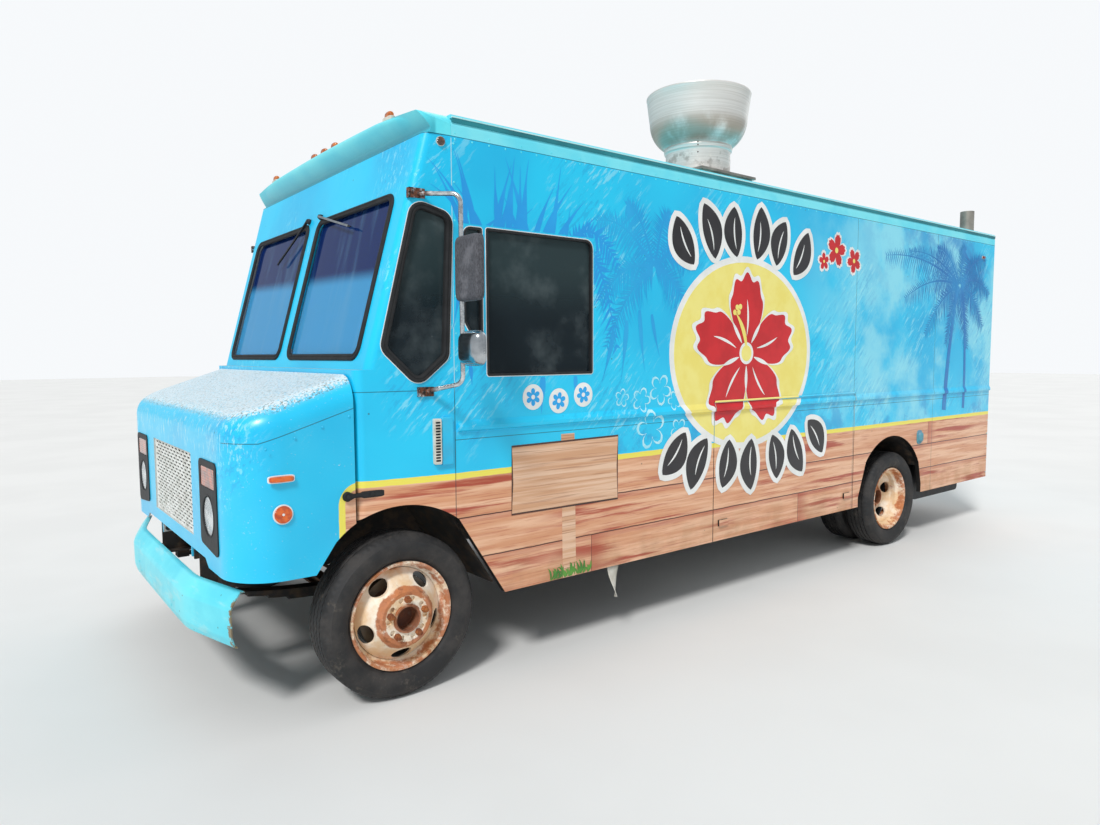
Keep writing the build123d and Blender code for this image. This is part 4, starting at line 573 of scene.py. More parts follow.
print("nodes painted")


# Meshes from arrays

def addObject(name, data):
    made = bpy.data.objects.new(name, data)
    scene.collection.objects.link(made)
    return made


def verticesOf(mesh):
    points = np.empty(len(mesh.vertices) * 3, np.float32)
    mesh.vertices.foreach_get("co", points)
    return points.reshape(-1, 3)


def moveVertices(mesh, points):
    mesh.vertices.foreach_set("co", points.astype(np.float32).ravel())


def edited(mesh, change):
    # one change made to a mesh by way of a bmesh
    work = bmesh.new()
    work.from_mesh(mesh)
    change(work)
    work.to_mesh(mesh)
    work.free()


def faceOutwards(mesh):
    # turns every face of closed shells outwards
    edited(mesh, lambda work: bmesh.ops.recalc_face_normals(work, faces=work.faces))


def faceAlong(work, direction):
    # turns round the faces that look against a direction
    work.normal_update()
    bmesh.ops.reverse_faces(work, faces=[f for f in work.faces if f.normal.dot(direction) < 0])


def thicken(piece, thickness):
    # gives an open sheet its thickness, inwards from its face
    sheet = piece.modifiers.new("thickness", "SOLIDIFY")
    sheet.thickness, sheet.offset = thickness, -1


def makePiece(name, vertices, faces, finish, slot, body, smooth=True, shell=True):
    # one mesh object from whole arrays, riding on a body; a closed shell is turned to face outwards
    mesh = bpy.data.meshes.new(name)
    mesh.from_pydata(np.asarray(vertices, float).reshape(-1, 3).tolist(), [],
                     faces.tolist() if isinstance(faces, np.ndarray) else faces)
    mesh.validate()
    mesh.update()
    mesh.polygons.foreach_set("use_smooth", np.full(len(mesh.polygons), smooth))
    mesh.materials.append(finishes[finish])
    piece = addObject(name, mesh)
    if smooth:
        mesh.set_sharp_from_angle(angle=math.radians(38))
    if shell:
        faceOutwards(mesh)
    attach(piece, body)
    return piece


def gridFaces(rows, columns, closeRows=False, closeColumns=False):
    # quads over a grid of rows x columns, joined round where it is closed
    r = np.arange(rows if closeRows else rows - 1)
    c = np.arange(columns if closeColumns else columns - 1)
    r, c = np.meshgrid(r, c, indexing="ij")
    r2, c2 = (r + 1) % rows, (c + 1) % columns
    return np.stack([r * columns + c, r2 * columns + c, r2 * columns + c2, r * columns + c2], -1).reshape(-1, 4)


def tubeFaces(rings, points):
    # quads round a tube of rings, its two ends closed
    ends = [list(range(points))[::-1], list(range((rings - 1) * points, rings * points))]
    return gridFaces(rings, points, closeColumns=True).tolist() + ends


def turned(profile, centre, axis, segments):
    # a profile of (along the axis, radius) pairs turned about the axis: point = centre + a*axis + r*(cos, sin)
    axis = np.asarray(axis, float) / np.linalg.norm(axis)
    side = np.cross(axis, (0, 0, 1.0) if abs(axis[2]) < 0.9 else (1.0, 0, 0))
    side /= np.linalg.norm(side)
    other = np.cross(axis, side)
    angle = np.linspace(0, 2 * np.pi, segments, endpoint=False)
    spoke = np.cos(angle)[:, None] * side + np.sin(angle)[:, None] * other
    profile = np.asarray(profile, float)
    points = np.asarray(centre, float) + profile[None, :, :1] * axis + profile[None, :, 1:] * spoke[:, None, :]
    return points.reshape(-1, 3), gridFaces(segments, len(profile), closeRows=True)


def joined(parts):
    # several (vertices, faces) pairs as one
    vertices, faces, count = [], [], 0
    for v, f in parts:
        vertices.append(np.asarray(v, float).reshape(-1, 3))
        faces += [tuple(int(i) + count for i in face) for face in f]
        count += len(vertices[-1])
    return np.concatenate(vertices), faces


def repeated(shape, places, axis):
    # one small shape, made about the origin along +Z, set at many places along an axis
    vertices, faces = shape
    axis = np.asarray(axis, float) / np.linalg.norm(axis)
    side = np.cross((0, 1.0, 0) if abs(axis[1]) < 0.9 else (1.0, 0, 0), axis)
    side /= np.linalg.norm(side)
    turn = np.stack([side, np.cross(axis, side), axis])
    places = np.asarray(places, float).reshape(-1, 3)
    points = places[:, None, :] + (vertices @ turn)[None]
    faces = np.asarray(faces)
    shifts = np.arange(len(places))[:, None, None] * len(vertices)
    return points.reshape(-1, 3), (faces[None] + shifts).reshape(-1, faces.shape[1])


def dome(radius, height, segments=8):
    # a rivet's round head: radius*cos, height*sin of the latitude, ending in a small flat pole
    latitude = np.linspace(0, 0.5 * np.pi * 0.96, 3)
    profile = np.stack([height * np.sin(latitude), radius * np.cos(latitude)], -1)
    return turned(profile, (0, 0, 0), (0, 0, 1), segments)


def roundedPath(corners, radii, steps):
    # a closed outline whose corners are arcs of the given radii
    corners = [np.asarray(c, float) for c in corners]
    points = []
    for i, corner in enumerate(corners):
        before = corners[i - 1] - corner
        after = corners[(i + 1) % len(corners)] - corner
        before, after = before / np.linalg.norm(before), after / np.linalg.norm(after)
        half = 0.5 * math.acos(np.clip(before @ after, -1, 1))
        radius = radii[i] if hasattr(radii, "__len__") else radii
        reach = radius / math.tan(half)
        middle = before + after
        centre = corner + middle / np.linalg.norm(middle) * radius / math.sin(half)
        a, b = corner + before * reach - centre, corner + after * reach - centre
        sweep = np.linspace(0, 1, steps)[:, None]
        angle = math.acos(np.clip(a @ b / radius ** 2, -1, 1))
        arc = (np.sin((1 - sweep) * angle) * a + np.sin(sweep * angle) * b) / math.sin(angle)
        points.append(centre + arc)
    return np.concatenate(points)


def carried(path, normal, profile, closed=True):
    # a profile of (sideways, outwards) pairs carried along a path lying in a surface with a normal
    path = np.asarray(path, float)
    if closed:
        tangent = np.roll(path, -1, 0) - np.roll(path, 1, 0)
    else:
        tangent = np.gradient(path, axis=0)
    tangent /= np.linalg.norm(tangent, axis=1, keepdims=True)
    normal = np.broadcast_to(np.asarray(normal, float), path.shape)
    side = np.cross(tangent, normal)
    side /= np.linalg.norm(side, axis=1, keepdims=True)
    profile = np.asarray(profile, float)
    points = path[:, None] + side[:, None] * profile[None, :, :1] + normal[:, None] * profile[None, :, 1:]
    if closed:
        return points.reshape(-1, 3), gridFaces(len(path), len(profile), True, True).tolist()
    return points.reshape(-1, 3), tubeFaces(len(path), len(profile))


# Camera at the photograph's place

cameraPlace = {"place": (4.3382, 4.2679, 1.6114), "yaw": 231.90, "pitch": -4.44, "roll": -0.26, "lens": 24.56}


def setCamera(c):
    # yaw, pitch and roll in degrees, yaw counted from +X
    yaw, pitch, roll = (math.radians(c[key]) for key in ("yaw", "pitch", "roll"))
    ahead = Vector((math.cos(yaw) * math.cos(pitch), math.sin(yaw) * math.cos(pitch), math.sin(pitch)))
    right = ahead.cross(Vector((0, 0, 1))).normalized()
    up = right.cross(ahead)
    right, up = math.cos(roll) * right + math.sin(roll) * up, -math.sin(roll) * right + math.cos(roll) * up
    data = bpy.data.cameras.new("camera")
    data.lens = c["lens"]
    data.sensor_width = 36
    data.sensor_fit = "HORIZONTAL"
    data.clip_end = 200
    camera = addObject("camera", data)
    turn = Matrix((right, up, -ahead)).transposed().to_4x4()
    camera.matrix_world = Matrix.Translation(c["place"]) @ turn
    scene.camera = camera


setCamera(cameraPlace)


# Tyres: a profile turned about the axle, its tread cut by zigzag grooves and shoulder notches

tyreShape = {"radius": 0.390, "halfWidth": 0.113, "grooves": (-0.051, -0.017, 0.017, 0.051), "grooveHalf": 0.0042,
             "grooveDepth": 0.009, "zigzag": 0.0032, "teeth": 72, "notchDepth": 0.005}


def tyreMesh(x, y, t):
    # point = axle + r(across, angle): grooves follow across + zigzag(angle), notches drop every other tooth
    side = [(-0.0755, 0.2485), (-0.0758, 0.262), (-0.0875, 0.272), (-0.094, 0.276), (-0.0965, 0.2795),
            (-0.1035, 0.292), (-0.1105, 0.313), (-0.113, 0.330), (-0.1115, 0.347), (-0.1095, 0.352),
            (-0.1087, 0.357), (-0.1065, 0.3585), (-0.1005, 0.3665), (-0.094, 0.3745)]
    crown = [(-0.088, 0.3805, 1, 0), (-0.079, 0.3855, 1, 0), (-0.0695, 0.3885, 0, 0)]
    for place in t["grooves"]:
        edge, depth = t["grooveHalf"], t["grooveDepth"]
        top = t["radius"] - 0.35 * place ** 2
        crown += [(place - edge, top, 0, 1), (place - edge * 0.55, top - depth, 0, 1),
                  (place + edge * 0.55, top - depth, 0, 1), (place + edge, top, 0, 1)]
    crown += [(0.0695, 0.3885, 0, 0), (0.079, 0.3855, 1, 0), (0.088, 0.3805, 1, 0)]
    rows = [(a, r, 0, 0) for a, r in side] + crown + [(-a, r, 0, 0) for a, r in side[::-1]]
    across, radius, notched, waved = (np.array(column, float) for column in zip(*rows))
    steps = t["teeth"] * 4
    index = np.arange(steps)
    angle = 2 * np.pi * index / steps
    wave = t["zigzag"] * (2 * np.abs((index / 4) % 1 * 2 - 1) - 1)
    notch = np.where(index % 4 < 1, t["notchDepth"], 0.0)
    grown = radius[None] - notched[None] * notch[:, None]
    along = across[None] + waved[None] * wave[:, None]
    points = np.stack([x + grown * np.cos(angle)[:, None], y + along,
                       axleZ + grown * np.sin(angle)[:, None]], -1)
    return points.reshape(-1, 3), gridFaces(steps, len(rows), True, True)


wheelRows = [
    # side, sign, body, tyre centres
    ("left", 1, "wheel_front_left", "wheels_rear_left"),
    ("right", -1, "wheel_front_right", "wheels_rear_right"),
]
frontWheelY = joints["roll_front_left"]["pos_m"][1]
rearWheelYs = (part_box("rear_tyres_left")[1].y - tyreShape["halfWidth"],
               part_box("rear_tyres_left")[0].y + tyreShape["halfWidth"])
hexNut = {"across": 0.0165, "height": 0.021, "stud": 0.0105, "studHeight": 0.033, "circle": 0.0921,
          "frontSeat": 0.130, "rearSeat": -0.118}


def nutMesh(n):
    # a hexagon rising to a chamfer with a round stud through it
    hexagon = turned([(-0.002, n["across"]), (n["height"] - 0.004, n["across"]),
                      (n["height"], n["across"] * 0.82), (n["height"], 0.003)], (0, 0, 0), (0, 0, 1), 6)
    stud = turned([(n["height"] - 0.001, n["stud"]), (n["studHeight"] - 0.002, n["stud"]),
                   (n["studHeight"], n["stud"] * 0.75), (n["studHeight"], 0.001)], (0, 0, 0), (0, 0, 1), 10)
    return joined([hexagon, stud])


for side, sign, frontBody, rearBody in wheelRows:
    front = makePiece("front_tyre_tread_" + side, *tyreMesh(frontAxleX, sign * frontWheelY, tyreShape), "tyre",
                      "tyre", frontBody)
    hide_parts("front_tyre_" + side)
    rear = makePiece("rear_tyre_treads_" + side,
                     *joined([tyreMesh(rearAxleX, sign * y, tyreShape) for y in rearWheelYs]), "tyre", "tyre", rearBody)
    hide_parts("rear_tyres_" + side)
    shape = nutMesh(hexNut)
    for body, x, y, offsets in ((frontBody, frontAxleX, sign * (frontWheelY + hexNut["frontSeat"]), range(0, 10, 2)),
                                (rearBody, rearAxleX, sign * (rearWheelYs[0] + hexNut["rearSeat"]), range(10))):
        turn = math.radians(18) + 2 * np.pi * np.array(list(offsets)) / 10
        places = np.stack([x + hexNut["circle"] * np.cos(turn), np.full(len(turn), y),
                           axleZ + hexNut["circle"] * np.sin(turn)], -1)
        makePiece(("front" if body == frontBody else "rear") + "_wheel_nuts_" + side,
                  *repeated(shape, places, (0, sign, 0)), "nutRust", "rim_paint", body)
print("tyres and wheel nuts made")


# Shapes that several pieces share

def unit(vector):
    # the same direction at length one
    vector = np.asarray(vector, float)
    return vector / np.linalg.norm(vector)


def softened(angle, power):
    # cos and sin, each raised to 2 / power with its sign kept
    c, s = np.cos(angle), np.sin(angle)
    return np.sign(c) * np.abs(c) ** (2 / power), np.sign(s) * np.abs(s) ** (2 / power)


def stacked(centre, up, along, halfAlong, halfAcross, levels, power=2.0, points=32):
    # superellipse rings at (height, share) levels: centre + height*up + share*(a*along + b*across), ends closed
    up, along = unit(up), unit(along)
    across = np.cross(up, along)
    c, s = softened(np.linspace(0, 2 * np.pi, points, endpoint=False), power)
    ring = (halfAlong * c)[:, None] * along + (halfAcross * s)[:, None] * across
    heights, shares = np.asarray(levels, float).T
    rings = np.asarray(centre, float) + heights[:, None, None] * up + shares[:, None, None] * ring
    return rings.reshape(-1, 3), tubeFaces(len(levels), points)


def roundProfile(width, height, points):
    # a flattened round bead: superellipse of power 2.6
    c, s = softened(np.linspace(0, 2 * np.pi, points, endpoint=False), 2.6)
    return np.stack([c * width / 2, s * height / 2], -1)


def slab(outline, sideY, proud, edge, onSide):
    # an outline of (x, z) standing proud of a side at sideY, its outer edge rounded over
    levels = [(-0.002, 0.0), (proud - edge, 0.0), (proud - edge * 0.3, edge * 0.3), (proud, edge)]
    rings = [np.stack([ring[:, 0], np.full(len(ring), onSide * (sideY + height)), ring[:, 1]], -1)
             for height, inset in levels for ring in [grownOutline(outline, -inset)]]
    return np.concatenate(rings), tubeFaces(len(levels), len(outline))


def arcThrough(a, b, c, steps):
    # the arc from a to c through b in one plane
    (ax, ay), (bx, by), (cx, cy) = a, b, c
    system = np.array([[bx - ax, by - ay], [cx - ax, cy - ay]]) * 2
    mx, my = np.linalg.solve(system, [bx ** 2 + by ** 2 - ax ** 2 - ay ** 2, cx ** 2 + cy ** 2 - ax ** 2 - ay ** 2])
    radius = math.hypot(ax - mx, ay - my)
    first, middle, last = (math.atan2(y - my, x - mx) for x, y in (a, b, c))
    turn = np.unwrap([first, middle, last])
    angle = np.linspace(turn[0], turn[2], steps)
    return np.stack([mx + radius * np.cos(angle), my + radius * np.sin(angle)], -1)


def curve(t, start, pull, end):
    # (1-t)^2 start + 2t(1-t) pull + t^2 end
    return (1 - t) ** 2 * start + 2 * t * (1 - t) * pull + t ** 2 * end


def sideAt(ahead):
    # half the width of the body or of the tapering cab
    return halfWidth - max(0.0, ahead - cabSeamAhead) * math.tan(taper)


def grownOutline(outline, margin):
    # every point moved along the outline's own normal
    before, after = np.roll(outline, 1, 0), np.roll(outline, -1, 0)
    tangent = after - before
    tangent /= np.linalg.norm(tangent, axis=1, keepdims=True) + 1e-9
    normal = np.stack([tangent[:, 1], -tangent[:, 0]], -1)
    area = np.sum(outline[:, 0] * after[:, 1] - after[:, 0] * outline[:, 1])
    return outline + margin * normal * (1 if area > 0 else -1)


# Rubber round the fixed panes: a bead with a locking strip, carried round each opening

seal = {"profile": [(-0.0165, -0.020), (-0.0165, 0.004), (-0.0125, 0.0095), (-0.0040, 0.0110), (-0.0022, 0.0085),
                    (0.0022, 0.0085), (0.0040, 0.0110), (0.0125, 0.0095), (0.0165, 0.004), (0.0165, -0.002),
                    (-0.006, -0.004), (-0.0105, -0.020)],
        "edge": [(0.0164, -0.0005), (0.0164, 0.0016), (0.0200, 0.0016), (0.0200, -0.0005)]}
glassFoot = np.array([at(0.140), 0.0, 1.601])
glassUp = (-math.sin(lean), 0.0, math.cos(lean))
glassNormal = (math.cos(lean), 0.0, math.sin(lean))


def onPlane(origin, right, up, outline):
    # an outline of (a, b) laid on a plane: origin + a*right + b*up
    return np.asarray(origin) + outline[:, :1] * np.asarray(right) + outline[:, 1:] * np.asarray(up)


paneOutline = roundedPath([(0.075, 0.0), (1.004, 0.0), (1.004, 0.782), (0.075, 0.782)], 0.055, 9)
quarterOutline = roundedPath([(-0.014 - a / 1000, 2.303 - z / 1000) for a, z in
                              ((0, 48), (27, 701), (168, 822), (330, 661), (172, 0))], 0.05, 7)
beads, edges = [], []
for sign in (1, -1):
    mirrored = np.array([1.0, sign, 1.0])
    for path, normal, trimmed in (
        (onPlane(glassFoot, (0, 1, 0), glassUp, paneOutline), glassNormal, False),
        (onPlane((at(cabSeamAhead), halfWidth, 0), (-math.cos(taper), math.sin(taper), 0), (0, 0, 1), quarterOutline),
         (math.sin(taper), math.cos(taper), 0), True),
    ):
        direction = -1 if sign > 0 else 1
        lying = (path * mirrored)[::direction], np.array(normal) * mirrored
        beads.append(carried(*lying, seal["profile"]))
        if trimmed:
            edges.append(carried(*lying, seal["edge"]))
gaskets = makePiece("window_gaskets", *joined(beads), "rubber", "rubber", "truck")
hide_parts("window_seals")


# Frames of the slot window and the sliding window on the driver's side

slotOutline = roundedPath([(at(-0.331), 1.701 + 0.070), (at(-0.331), 2.214), (at(-0.429), 2.214), (at(-0.429), 1.701),
                           (at(-0.331) - 0.042, 1.701)], (0.012, 0.038, 0.006, 0.006, 0.012), 6)
slidingOutline = roundedPath([(at(-0.460), 1.510), (at(-0.460), 2.217), (at(-1.138), 2.217), (at(-1.138), 1.510)],
                             (0.008, 0.008, 0.042, 0.008), 6)
frameProfile = [(-0.008, -0.018), (-0.008, 0.002), (-0.006, 0.004), (0.003, 0.004), (0.005, 0.002), (0.005, -0.0005),
                (-0.0005, -0.001), (-0.0005, -0.018)]
trimProfile = [(0.0045, -0.0005), (0.0045, 0.0018), (0.0085, 0.0018), (0.0085, -0.0005)]


def onLeftWall(outline):
    # an outline of (x, z) laid on the driver's side
    return np.stack([outline[:, 0], np.full(len(outline), halfWidth), outline[:, 1]], -1)


frames = [carried(onLeftWall(outline)[::-1], (0, 1, 0), frameProfile) for outline in (slotOutline, slidingOutline)]
makePiece("side_window_frames", *joined(frames), "plastic", "rubber", "truck")
edges += [carried(onLeftWall(outline)[::-1], (0, 1, 0), trimProfile) for outline in (slotOutline, slidingOutline)]
makePiece("window_white_edges", *joined(edges), "printWhite", "body_paint", "truck")
folds = {"x": at(-1.118), "width": 0.19, "depth": 0.012, "count": 7, "low": 1.50, "high": 2.22, "thick": 0.0015}
across = np.linspace(0, 1, 90)
down = np.array([folds["high"], folds["low"]])
wave = folds["depth"] * np.cos(2 * np.pi * folds["count"] * across)
drape = np.stack(np.broadcast_arrays(folds["x"] + folds["width"] * across[None], halfWidth - 0.075 + wave[None],
                                     down[:, None]), -1)
curtain = makePiece("side_window_curtain", drape.reshape(-1, 3), gridFaces(2, 90), "curtain", "rubber", "truck",
                    shell=False)
thicken(curtain, folds["thick"])


# Rivets and seams

def lineOf(start, end, pitch):
    # evenly spaced points from start to end, about a pitch apart
    start, end = np.asarray(start, float), np.asarray(end, float)
    count = max(2, int(np.linalg.norm(end - start) / pitch) + 1)
    return start + np.linspace(0, 1, count)[:, None] * (end - start)


rivet = dome(0.0048, 0.0022)
sidePlaces = np.concatenate([
    lineOf((bodyRearX + 0.03, halfWidth, 2.612), (at(-0.29), halfWidth, 2.612), 0.095),
    lineOf((bodyRearX + 0.03, halfWidth, 2.640), (at(-0.29), halfWidth, 2.640), 0.19),
    lineOf((at(-0.283), halfWidth, 1.36), (at(-0.283), halfWidth, 2.59), 0.16),
    lineOf((at(-3.826), halfWidth, 1.33), (at(-3.826), halfWidth, 2.59), 0.21),
    lineOf((bodyRearX + 0.012, halfWidth, 0.45), (bodyRearX + 0.012, halfWidth, 2.60), 0.12),
])
makePiece("side_rivets", *joined([
    repeated(rivet, sidePlaces, (0, 1, 0)),
    repeated(rivet, sidePlaces * (1, -1, 1), (0, -1, 0))]), "cap", "roof_paint", "truck")
seamStart, seamEnd = np.array([at(0.60), 1.1195, 1.252]), np.array([at(0.235), 1.1195, 1.370])
hoodPlaces = lineOf(seamStart + (0, 0, -0.030), seamEnd + (0, 0, -0.030), 0.105)
makePiece("hood_rivets", *joined([
    repeated(dome(0.006, 0.0028), hoodPlaces, (0, 1, 0)),
    repeated(dome(0.006, 0.0028), hoodPlaces * (1, -1, 1), (0, -1, 0))]), "hoodWrap", "hood_paint", "hood")
print("seals, frames and rivets made")


# Lamps: amber domes on pale bases, round tail lamps, ribbed turn lamps and headlamp lenses

lamps = {"roofYs": (-0.828, -0.152, 0.0, 0.152, 0.828), "roofX": at(-0.131), "cabMarker": (at(-0.217), 2.591),
         "tailZs": (0.770, 0.860), "tailY": 0.980, "rearYs": (-0.900, -0.150, 0.0, 0.150, 0.900),
         "hoodFront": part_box("hood_shell")[1].x, "bezelY": 0.743, "headlampZ": 0.901, "turnZ": 1.074,
         "hoodSide": 1.1185, "slimLamp": (at(0.540), 1.094), "roundLamp": (at(0.537), 0.943)}
whiteBases, beacons, redLenses, agedDomes = [], [], [], []
for y in lamps["roofYs"]:
    place = ((lamps["roofX"], y, 0.0), (0, 0, 1), (0, 1, 0))
    whiteBases.append(stacked(*place, 0.048, 0.017, [(2.728, 1), (2.762, 1), (2.765, 0.94)], 4.0))
    whiteBases.append(stacked((lamps["roofX"] - 0.008, y - 0.034, 0.0), (0, 0, 1), (0, 1, 0), 0.013, 0.009,
                              [(2.760, 1), (2.783, 0.92), (2.786, 0.7)], 4.0))
    beacons.append(stacked((lamps["roofX"] + 0.001, y + 0.008, 0.0), (0, 0, 1), (0, 1, 0), 0.036, 0.0155,
                           [(2.758, 1), (2.775, 0.98), (2.783, 0.88), (2.788, 0.66), (2.7905, 0.35)], 2.6))
for sign in (1, -1):
    x, z = lamps["cabMarker"]
    place = ((x, sign * sideAt(-0.217), z), (math.sin(taper), sign * math.cos(taper), 0), (0, 0, 1))
    whiteBases.append(stacked(*place, 0.022, 0.022, [(-0.006, 1), (0.004, 1), (0.006, 0.9)]))
    agedDomes.append(stacked(*place, 0.0205, 0.0205, [(0.002, 1), (0.010, 0.95), (0.014, 0.7), (0.0158, 0.3)]))
    for z in lamps["tailZs"]:
        place = ((bodyRearX, sign * lamps["tailY"], z), (-1, 0, 0), (0, 0, 1))
        whiteBases.append(stacked(*place, 0.038, 0.038, [(-0.001, 1), (0.008, 1), (0.011, 0.93)]))
        redLenses.append(stacked(*place, 0.034, 0.034, [(0.008, 1), (0.016, 0.96), (0.020, 0.8), (0.022, 0.4)]))
    place = ((bodyRearX + 0.245, sign * halfWidth, 2.494), (0, sign, 0), (1, 0, 0))
    whiteBases.append(stacked(*place, 0.030, 0.014, [(-0.001, 1), (0.004, 1), (0.006, 0.93)], 5.0))
    redLenses.append(stacked(*place, 0.027, 0.0115, [(0.005, 1), (0.011, 0.94), (0.0138, 0.75)], 4.0))
for y in lamps["rearYs"]:
    place = ((bodyRearX, y, 2.575), (-1, 0, 0), (0, 1, 0))
    whiteBases.append(stacked(*place, 0.030, 0.015, [(-0.001, 1), (0.004, 1), (0.006, 0.93)], 5.0))
    redLenses.append(stacked(*place, 0.027, 0.0125, [(0.005, 1), (0.011, 0.94), (0.0138, 0.75)], 4.0))
lampBases = makePiece("marker_lamp_bases", *joined(whiteBases), "lampWhite", "lamp_red", "truck")
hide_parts("marker_lamps")
makePiece("roof_lamp_domes", *joined(beacons), "beaconLens", "lamp_amber", "truck")
makePiece("red_lamp_domes", *joined(redLenses), "redLens", "lamp_red", "truck")
makePiece("aged_cab_lamp_domes", *joined(agedDomes), "agedLens", "lamp_amber", "truck")

hoodAmber, hoodPale, headGlass, headRings, turns = [], [], [], [], []
for sign in (1, -1):
    turns.append(stacked((lamps["hoodFront"], sign * lamps["bezelY"], lamps["turnZ"]), (1, 0, 0), (0, 1, 0),
                         0.1140, 0.0455, [(-0.0195, 1), (0.001, 1), (0.004, 0.975)], 14.0, 64))
    slim, disc = (((x, sign * lamps["hoodSide"], z), (0, sign, 0), (1, 0, 0))
                  for x, z in (lamps["slimLamp"], lamps["roundLamp"]))
    hoodPale.append(stacked(*slim, 0.057, 0.0165, [(-0.003, 1), (0.002, 1), (0.0032, 0.97)], 5.0))
    hoodAmber.append(stacked(*slim, 0.052, 0.0125, [(0.001, 1), (0.010, 0.97), (0.0145, 0.86), (0.0158, 0.6)], 5.0))
    hoodPale.append(stacked(*disc, 0.0425, 0.0425, [(-0.003, 1), (0.0025, 1), (0.0036, 0.97)], 2.0, 40))
    hoodAmber.append(stacked(*disc, 0.0375, 0.0375, [(0.002, 1), (0.0062, 0.985), (0.0076, 0.94)], 2.0, 40))
    hoodPale.append(stacked(*disc, 0.0062, 0.0062, [(0.007, 1), (0.0085, 0.8)], 2.0, 16))
    bowl = [(-0.0196, 0.0885), (0.0008, 0.0885), (0.0035, 0.0780), (0.0058, 0.0560), (0.0073, 0.0300), (0.0079, 0.0015)]
    lampPlace = (lamps["hoodFront"], sign * lamps["bezelY"], lamps["headlampZ"])
    headGlass.append(turned(bowl, lampPlace, (1, 0, 0), 64))
    ring = [(0.0052, 0.0880), (0.0072, 0.0895), (0.0086, 0.0930), (0.0078, 0.0965), (0.0058, 0.0975)]
    headRings.append((turned(ring, lampPlace, (1, 0, 0), 64)[0], gridFaces(64, len(ring), True, True)))
amberLamps = makePiece("hood_amber_lenses", *joined(hoodAmber), "amberLens", "lamp_amber", "hood")
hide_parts("hood_amber_lamps")
makePiece("turn_lamp_lenses", *joined(turns), "turnLens", "lamp_amber", "hood")
makePiece("hood_lamp_rims", *joined(hoodPale), "printWhite", "hood_paint", "hood")
headlamps = makePiece("headlamp_fluted_lenses", *joined(headGlass), "clearLens", "lamp_clear", "hood")
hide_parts("headlamp_lenses")
makePiece("headlamp_rings", *joined(headRings), "plastic", "black_plastic", "hood")
print("lamps made")


# Mirrors: felted flat heads and bright convex ones, each with its glass looking back

mirror = {"x": at(-0.225), "y": 1.395, "halfY": 0.095, "flatZ": 1.995, "flatHalf": 0.145, "convexZ": 1.640,
          "convexHalf": 0.080, "clampY": 1.3275,
          "flatSteps": [(-0.021, 0.95), (-0.0195, 0.985), (-0.014, 1), (0.006, 1), (0.014, 0.985), (0.0185, 0.95),
                        (0.021, 0.88)],
          "convexSteps": [(-0.027, 0.93), (-0.0262, 0.975), (-0.022, 1), (-0.014, 1), (-0.0115, 0.975),
                          (-0.0105, 0.955), (0.000, 0.93), (0.010, 0.875), (0.018, 0.78), (0.0235, 0.63),
                          (0.0262, 0.42), (0.027, 0.18)],
          "clampSteps": [(-0.030, 0.75), (-0.024, 0.97), (0.0, 1.0), (0.024, 0.97), (0.030, 0.75)]}
felted, bright, mirrorGlasses = [], [], []
for sign in (1, -1):
    x, y = mirror["x"], sign * mirror["y"]
    felted.append(stacked((x, y, mirror["flatZ"]), (1, 0, 0), (0, 1, 0), mirror["halfY"], mirror["flatHalf"],
                          mirror["flatSteps"], 9.0, 72))
    for dz in (-0.062, 0.062):
        felted.append(stacked((x + 0.004, sign * mirror["clampY"], mirror["flatZ"] + dz), (0, 0, 1), (1, 0, 0),
                              0.0185, 0.019, mirror["clampSteps"], 2.6, 24))
    mirrorGlasses.append(stacked((x - 0.0205, y, mirror["flatZ"]), (-1, 0, 0), (0, 1, 0), 0.086, 0.134,
                                 [(-0.001, 1), (0.0006, 1), (0.0009, 0.985)], 9.0, 72))
    bright.append(stacked((x, y, mirror["convexZ"]), (1, 0, 0), (0, 1, 0), mirror["halfY"], mirror["convexHalf"],
                          mirror["convexSteps"], 4.6, 72))
    mirrorGlasses.append(stacked((x - 0.026, y, mirror["convexZ"]), (-1, 0, 0), (0, 1, 0), 0.086, 0.071,
                                 [(-0.001, 1), (0.0005, 1), (0.0011, 0.8), (0.0014, 0.4)], 4.6, 72))
mirrorBacks = makePiece("flat_mirror_backs", *joined(felted), "mirrorShell", "mirror_shell", "truck")
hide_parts("mirror_heads")
makePiece("convex_mirror_backs", *joined(bright), "chrome", "mirror_chrome", "truck")
makePiece("mirror_faces", *joined(mirrorGlasses), "mirrorGlass", "mirror_chrome", "truck")
print("mirrors made")


# Wipers: a silver arm and a black one, each over a long rubber blade

wiper = {"arms": ((0.090, 0.560, 0.122, "chrome"), (-0.090, -0.430, 0.212, "plastic")), "blade": 0.42,
         "pivotUp": 0.812}


def onGlass(points):
    # (right, up, out) on the leaning windshield plane
    points = np.asarray(points, float)
    return glassFoot + points[:, :1] * (0.0, 1.0, 0.0) + points[:, 1:2] * glassUp + points[:, 2:] * glassNormal


